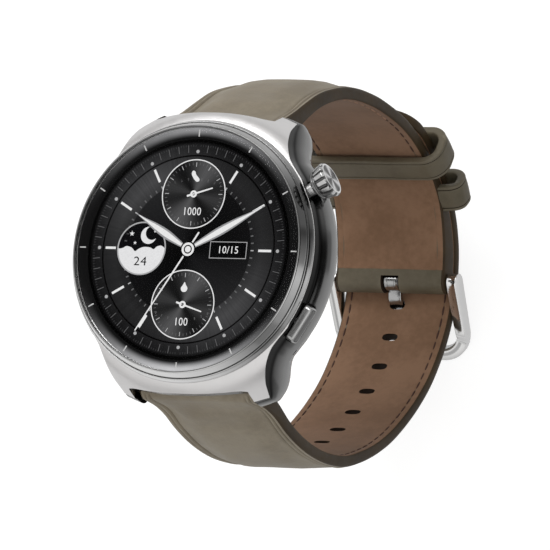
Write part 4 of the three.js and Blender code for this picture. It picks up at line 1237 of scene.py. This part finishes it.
# notches for the release levers
for side, strap in ((1, short_outer), (-1, long_outer)):
    outline = [(side * (BAR_Y + y), BAR_Z + z)
               for y, z in ((-3.2, -4.4), (0.4, -4.4), (0.2, 0), (-3.2, 0))]
    carve(strap, "carve_n", Solid(bar_x(outline, 4.6, 8.4), 2), 60)

# seven adjustment holes; the first one holds the tang
HOLE_PITCH, TANG_Y = 6.8, 5.58
coarse_long = Path(long_control, -1, COARSE)
tang_s = coarse_long.len
while tang_s > 0 and abs(coarse_long.at(tang_s)[0][0] - TANG_Y) > 0.02:
    tang_s -= 0.01


def hole_cutters(slot):
    out = Solid()
    for i in range(7):
        centre, _, normal, way = coarse_long.at(tang_s - i * HOLE_PITCH)
        half_length = 0.74 if i else 0.95
        points = [(1.5 * copysign(abs(cos(a)) ** 0.72, cos(a)),
                   half_length * copysign(abs(sin(a)) ** 0.8, sin(a)))
                  for a in np.linspace(0, TAU, 40, endpoint=False)]
        out.add(grid([[(x, *(centre + way * y + normal * z)) for x, y in points]
                      for z in (-3, 3)]), slot)
    return out


carve(long_outer, "carve_o1", hole_cutters(3), 60)
carve(long_lining, "carve_o2", hole_cutters(1), 50)
place(short_outer, "short_strap", "outer_leather", "short_strap_leather")
place(short_lining, "short_strap", "lining_leather", "short_strap_lining")
place(long_outer, "long_strap", "outer_leather", "long_strap_leather")
place(long_lining, "long_strap", "lining_leather", "long_strap_lining")
SEWN_S, SLIDING_S = short_path.len - 15.9, short_path.len - 24.9    # keepers
# the upper stitches take the lighter thread colour: a painted highlight
place(stitches("short_strap_stitches_highlit", short_path, 13, 45, "thread_light"),
      "short_strap", "lining_leather")
place(stitches("short_strap_stitches", short_path, 45.6, SLIDING_S - 3.6, "thread"),
      "short_strap", "lining_leather")
place(stitches("long_strap_stitches", long_path, 12, long_path.len - 7, "thread", True),
      "long_strap", "lining_leather")


# ------------------------------------------------------------------ keepers
def keeper_line(sewn, low, high, thick):
    """Centre line (x, height) of the band: open under the strap when sewn, else a loop."""
    if not sewn:
        line = [(x, z + (high + low) / 2) for x, z in
                rounded_rect(2 * (12.6 + thick / 2), high - low + thick, 2.8, 14)]
        dense = []
        for (x0, z0), (x1, z1) in zip(line, line[1:] + line[:1]):
            parts = max(1, int(hypot(x1 - x0, z1 - z0) / 0.8))
            dense += [(x0 + (x1 - x0) * k / parts, z0 + (z1 - z0) * k / parts)
                      for k in range(parts)]
        return dense
    side, radius, top = 13.05 + thick / 2, 2.9, high + thick / 2
    line = [(-8.9, -0.35), (-9.9, -0.35), (-11.2, -0.33), (-side + 0.9, -0.15),
            (-side + 0.12, 0.5), (-side, 1.3)]
    line += [(-side + radius - radius * cos(a), top - radius + radius * sin(a))
             for a in np.linspace(0, pi / 2, 12)]
    line = spline(line, 3).tolist()
    line += [(x, top) for x in np.linspace(-side + radius, 0, 9)[1:]]
    return line + [(-x, z) for x, z in line[::-1][1:]]


def keeper(name, s_mid, sewn):
    centre, h, normal, way = short_path.at(s_mid)
    low, high = -(h + 0.45), h + LAP_GAP + 2 * LAP_HALF + 0.5
    thick = 1.5
    line = np.array(keeper_line(sewn, low, high, thick))
    normals = line_normals(line, loop=not sewn)
    middle = np.array([0, 0.5 if sewn else (high + low) / 2])
    if np.mean(np.sum(normals * (line - middle), axis=1)) < 0:
        normals = -normals
    # outer face: rounded edges, a crease along each and a slight swell
    outer = []
    for a in (2.5, 2.47, 2.38, 2.2, 2.02, 1.92, 1.85, 1.78, 1.68, 1.55, 1.0, 0.4):
        b = thick / 2 - (0.32 - sqrt(max(0, 0.32 ** 2 - max(0, a - 2.18) ** 2)))
        b -= 0.24 * exp(-((a - 1.85) / 0.085) ** 2)
        b += 0.06 * cos(a / 1.7 * pi / 2) if a < 1.7 else 0
        outer.append((a, b))
    section = outer + [(-a, b) for a, b in outer[::-1]]
    section += [(-2.5, -0.1), (-2.5, -thick / 2 + 0.25), (-2.25, -thick / 2), (-1, -thick / 2),
                (1, -thick / 2), (2.25, -thick / 2), (2.5, -thick / 2 + 0.25), (2.5, -0.1)]
    rings = []
    for (x, z), (nx, nz) in zip(line, normals):
        slide = 0.04 * sin(0.5 * x + 2 * s_mid)
        rings.append([(x + nx * b, *(centre + normal * (z + nz * b) + way * (a + slide)))
                      for a, b in section])
    column = [1 if abs(a) > 2.3 or b < -0.05 else 0 for a, b in section]
    for k in (5, 6, 2 * len(outer) - 8, 2 * len(outer) - 7):
        column[k] = 2
    slots = column * (len(rings) - 1) + [1, 1] if sewn else column * len(rings)
    # the keeper takes the darker keeper leather, a painted shade, with cut-edge creases
    return Solid(grid(rings, loop=not sewn), slots).build(
        name, ["keeper_leather_shaded", "keeper_leather_shaded", "cut_edge"], 50)


place(keeper("keeper_sewn", SEWN_S, True), "short_strap", "outer_leather", "fixed_keeper")
place(keeper("keeper_sliding", SLIDING_S, False), "loose_keeper", "outer_leather", "free_keeper")

# ------------------------------------------------------------------ buckle
LEAN, REACH = rad(34.5), 13.5
LOOP_LENGTH = REACH + 0.4
LOOP_HALF, CORNER = 11.87, 4.3              # half width to the legs' centres, corner radius
LEG_ROOT, LEG_TIP = 1.7, 1.25               # half heights of a leg
buckle_at = np.array(BUCKLE)
buckle_way = np.array([-cos(LEAN), -sin(LEAN)])
buckle_out = np.array([-buckle_way[1], buckle_way[0]])      # away from the wrist


def loop_ring(x, q, out_x, out_q, width, up, down, bevel):
    """Chamfered section at x and q along the frame, facing (out_x, out_q)."""
    half, small = width / 2, bevel * 0.3
    right = [(half - bevel, up), (half - small, up - small), (half, up - bevel),
             (half, -down + bevel), (half - small, -down + small), (half - bevel, -down)]
    section = [(-half + bevel, up)] + right
    section += [(-a, b) for a, b in right[:0:-1]]
    return [(x + out_x * a, *(buckle_at + buckle_way * (q + out_q * a) + buckle_out * b))
            for a, b in section]


def leg_end(side):
    """Rounded end of a leg, at the pin."""
    out = []
    for a in np.linspace(0, pi / 2 * 0.96, 10)[1:]:
        half = LEG_ROOT * cos(a)
        out.append(loop_ring(side * LOOP_HALF, -LEG_ROOT * sin(a), side, 0, 2.0, half, half,
                             min(0.3, half * 0.6)))
    return out


plan = [(-LOOP_HALF, q) for q in np.linspace(0.0, LOOP_LENGTH - CORNER, 22)]
plan += [(-LOOP_HALF + CORNER - CORNER * cos(a), LOOP_LENGTH - CORNER + CORNER * sin(a))
         for a in np.linspace(0, pi / 2, 14)[1:]]
plan += [(x, LOOP_LENGTH) for x in np.linspace(-LOOP_HALF + CORNER, 0, 9)[1:]]
plan += [(-x, q) for x, q in plan[::-1][1:]]
rings = leg_end(-1)[::-1]
for (x, q), (out_x, out_q) in zip(plan, line_normals(plan)):
    cross = float(smooth_step(abs(out_q), 0.15, 0.95))
    half = LEG_ROOT + (LEG_TIP - LEG_ROOT) * min(1, max(0, q) / LOOP_LENGTH)
    # the corners clear the strap when the frame swings in
    thin = float(smooth_step(abs(out_q), 0.01, 0.4))
    rings.append(loop_ring(x, q, out_x, out_q, 2.0 + cross * 0.4, half + (1.15 - half) * cross,
                           half + (0.6 - half) * thin, 0.3))
rings += leg_end(1)
place(Solid(grid(rings)).build("buckle_loop", "polished_steel", 30),
      "buckle", "polished_steel", "buckle_frame")


def turned_x(profile, count, loop=False):
    """(x, radius) turned about the buckle pin."""
    return grid([[(x, y, z) for y, z in circle(r, count, *BUCKLE)] for x, r in profile], loop)


PIN = [(12.68, 0.5), (12.66, 0.62), (12.6, 0.68), (12.0, 0.7), (11.9, 0.88)]
pin = turned_x([(-x, r) for x, r in PIN] + PIN[::-1], 32)
place(Solid(pin).build("buckle_pin", "brushed_metal", 35),
      "buckle", "polished_steel", "buckle_bar")

# tang: bent blade (y, z) and rolled barrel
blade = [[8.2, -71.2], [6.9, -71.45], [6.2, -71.85], [5.8, -72.7], [5.55, -74.0], [5.25, -75.2],
         [4.75, -76.1]]
# distance along the frame and height over it
for q, height in ((8.2, 2.3), (11, 2.05), (REACH, 1.9), (REACH + 1.5, 1.75)):
    blade.append((buckle_at + buckle_way * q + buckle_out * height).tolist())
blade = spline(blade, 6)
rings = []
for i, (centre, normal) in enumerate(zip(blade, line_normals(blade))):
    half_wide, half_thick = 1.25, 0.42
    tip = (i / (len(blade) - 1) - 0.93) / 0.07
    if tip > 0:
        half_wide *= sqrt(max(0.02, 1 - tip * tip * 0.85))
        half_thick *= sqrt(max(0.02, 1 - tip * tip * 0.9))
    section = rounded_rect(2 * half_wide, 2 * half_thick, min(0.2, half_thick * 0.6), 3)
    rings.append(across(section, centre, normal))
BARREL = [(1.4, 1.0), (1.4, 1.5), (1.33, 1.64), (1.2, 1.7), (0.72, 1.7), (0.66, 1.62), (0.6, 1.7)]
barrel = turned_x([(-x, r) for x, r in BARREL] + BARREL[::-1], 40, loop=True)
# the tang takes the darker copy of polished steel: painted dark reflections
place(Solid(grid(rings)).add(barrel).build("tang_blade", "tang_steel", 35),
      "buckle_tang", "polished_steel", "tang")

# ------------------------------------------------------------------ back of the case
# radius, z of the ring cover and of the glass inside it
COVER = [(12.68, 0.36), (12.8, 0.42), (14.5, 0.5), (16.0, 0.66), (17.0, 0.86), (18.0, 1.08),
         (18.4, 1.24), (18.45, 1.4), (18.45, 2.12), (12.68, 2.12)]
WINDOW = [(0, 0), (10.35, 0), (10.6, 0.012), (11.3, 0.1), (12.2, 0.27), (12.5, 0.38),
          (12.58, 0.5), (12.58, 2.12), (0, 2.12)]
cover = Solid(revolve(COVER, 192)).build("back_cover", ["back_cover", "rubber"], 40)
for degrees in (45, 135, 225, 315):
    well = disc(1.12, -1, 1.6, 17.0 * cos(rad(degrees)), 17.0 * sin(rad(degrees)), 32)
    carve(cover, "carve_b", Solid(well, 1), 40)
place(cover, "case", "black_plastic", "rear_cover")
place(Solid(revolve(WINDOW, 192)).build("back_window", "back_glass", 40),
      "case", "back_glass", "sensor_window")

LENS, LED, METAL = range(3)
sensors = Solid(annulus(9.3, 9.55, -0.006, 0.02, count=128), METAL)
sensors.add(annulus(4.9, 5.1, -0.006, 0.02), METAL)
for k in range(4):
    for turn, radius, count, slot in ((rad(45 + 90 * k), 1.25, 40, LENS),
                                      (rad(90 + 90 * k), 0.8, 32, LED)):
        sensors.add(disc(radius, -0.008, 0.02, 7.1 * cos(turn), 7.1 * sin(turn), count), slot)
sensors.add(disc(2.0, -0.008, 0.02), LED)
for y in (3.3, -3.3):
    sensors.add(disc(0.7, -0.01, 0.02, 0, y, 32), LENS)
place(sensors.build("back_sensors", ["lens", "led", "bare_metal"], 40), "case", "back_glass")

# ------------------------------------------------------------------ finishes of the CAD pieces
FINISHES = {
    "black_plastic": "inner_chassis speaker_module",
    "circuit_board": "main_board sensor_board",
    "bare_metal": "shield_can haptic_housing rear_screw_1 rear_screw_2 rear_screw_3 rear_screw_4",
    "battery_wrap": "battery",
    "haptic_mass": "haptic_mass",
    "switch_metal": "microphone crown_switch button_switch",
    "copper_wire": "charging_coil",
    "rubber": "rear_gasket crown_seal button_seal",
    "nylon": "crown_plunger",
    "brushed_metal": "crown_tube crown_stem short_strap_bar_tube short_strap_bar_end "
                     "short_strap_release_pin long_strap_bar_tube long_strap_bar_end "
                     "long_strap_release_pin",
}
for mat, nodes in FINISHES.items():
    for node in nodes.split():
        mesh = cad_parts[node].data
        mesh.materials.clear()
        mesh.materials.append(MATERIALS[mat])

# ------------------------------------------------------------------ floor (metres)
lo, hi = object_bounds()
floor_z = lo.z - 0.0006
mesh = bpy.data.meshes.new("floor")
mesh.from_pydata([(x, y, floor_z) for x, y in ((-3, -3), (3, -3), (3, 3), (-3, 3))], [],
                 [(0, 1, 2, 3)])
floor = link("floor", mesh)


def floor_material():
    """Bright to the camera, dimmer in reflections, with two dark sectors far out."""
    g = material("floor")
    white = g.gain((1, 1, 1, 1), g.vary(0.99, 1.0, per_mm=0.02))
    x, y, _ = g.xyz()
    azimuth = g.math("ARCTAN2", y, x) * (180 / pi)
    far = g.span(g.radius(x, y), (0.13, 0.2), smooth=True)
    light = 1.0
    # first and last degree of a sector, how much it darkens
    for start, end, amount in ((2, 22, 0.9), (-58, -44, 0.65)):
        sector = (g.span(azimuth, (start - 5, start), smooth=True)
                  * g.span(azimuth, (end, end + 5), to=(1, 0), smooth=True))
        light = light * (1.0 - sector * far * amount)
    ray = g.add("ShaderNodeLightPath")
    camera_share, glossy_share = 0.8, 0.42
    strength = (ray.out("Is Camera Ray") * camera_share
                + ray.out("Is Glossy Ray") * glossy_share * light)
    grey = g.gain(srgb(160, 160, 160), g.vary(0.98, 1.0, per_mm=0.02))
    matt = g.bsdf(grey, rough=0.9, Specular_IOR_Level=0.0)
    g.finish(g.add("ShaderNodeAddShader", {0: g.emission(white, strength), 1: matt}))


floor_material()
mesh.materials.append(MATERIALS["floor"])

# ------------------------------------------------------------------ world
# brightness from straight down (0) to straight up (1)
SKY = [(0, 0.2), (0.42, 0.3), (0.5, 0.45), (0.6, 0.64), (0.72, 0.8), (0.88, 0.9), (1, 0.92)]
# dark patches: direction, full to this angle, gone by this angle, amount
SKY_PATCHES = (
    ((-0.443, 0.155, 0.883), 9, 17, 0.85), ((0.15, 0.75, 0.66), 5, 9, 0.95),
    ((0.96, -0.02, 0.2), 16, 34, 0.94), ((0.58, -0.8, 0.14), 8, 20, 0.75),
    ((-0.8, 0.5, 0.25), 8, 16, 0.35), ((-0.5, -0.75, 0.45), 5, 10, 0.5))
SKY_TINT = (1.0, 0.995, 0.985)
world = bpy.data.worlds.new("studio")
scene.world = world
world.use_nodes = True
g = Graph(world.node_tree, "ShaderNodeOutputWorld", "Generated")
sky = g.ramp(g.span(g.xyz()[2], (-1, 1)), SKY, "EASE")
for direction, full, gone, amount in SKY_PATCHES:
    dot = g.add("ShaderNodeVectorMath", {0: g.coords, 1: Vector(direction).normalized()},
                "Value", operation="DOT_PRODUCT")
    inside = g.span(dot, (cos(rad(gone)), cos(rad(full))), smooth=True)
    sky = sky * (1.0 - inside * amount)
tinted = g.add("ShaderNodeCombineColor", enumerate([sky * k for k in SKY_TINT]))
g.finish(g.add("ShaderNodeBackground", {0: tinted, 1: 1.0}))

# ------------------------------------------------------------------ lights and camera
LIGHT_TARGET = Vector((0, 0, -0.03))
# name, place (m), diameter (m), power (W)
for name, location, size, power in (("key", (-0.35, 0.95, 1.15), 0.9, 6.6),
                                    ("fill", (1.2, -0.5, 0.9), 1.2, 2.2)):
    light = bpy.data.lights.new(name, "AREA")
    light.shape, light.size, light.energy = "DISK", size, power
    lamp = link(name, light)
    lamp.location = location
    lamp.rotation_mode = "QUATERNION"
    lamp.rotation_quaternion = (LIGHT_TARGET - Vector(location)).to_track_quat("-Z", "Y")

CAMERA_PLACE = (0.77118, -0.26834, 1.5139)
CAMERA_AXES = Matrix(((0.8962710, -0.0197931, 0.4430649),
                      (0.0984445, 0.9829610, -0.1552303),
                      (-0.4324430, 0.1827457, 0.8829479)))
lens = bpy.data.cameras.new("camera")
lens.lens, lens.sensor_width, lens.clip_start, lens.clip_end = 654.5, 36, 0.01, 20
camera = link("camera", lens)
camera.matrix_world = Matrix.Translation(CAMERA_PLACE) @ CAMERA_AXES.to_4x4()
scene.camera = camera
scene.view_settings.view_transform = "Standard"
scene.view_settings.look = "None"

bpy.context.view_layer.update()
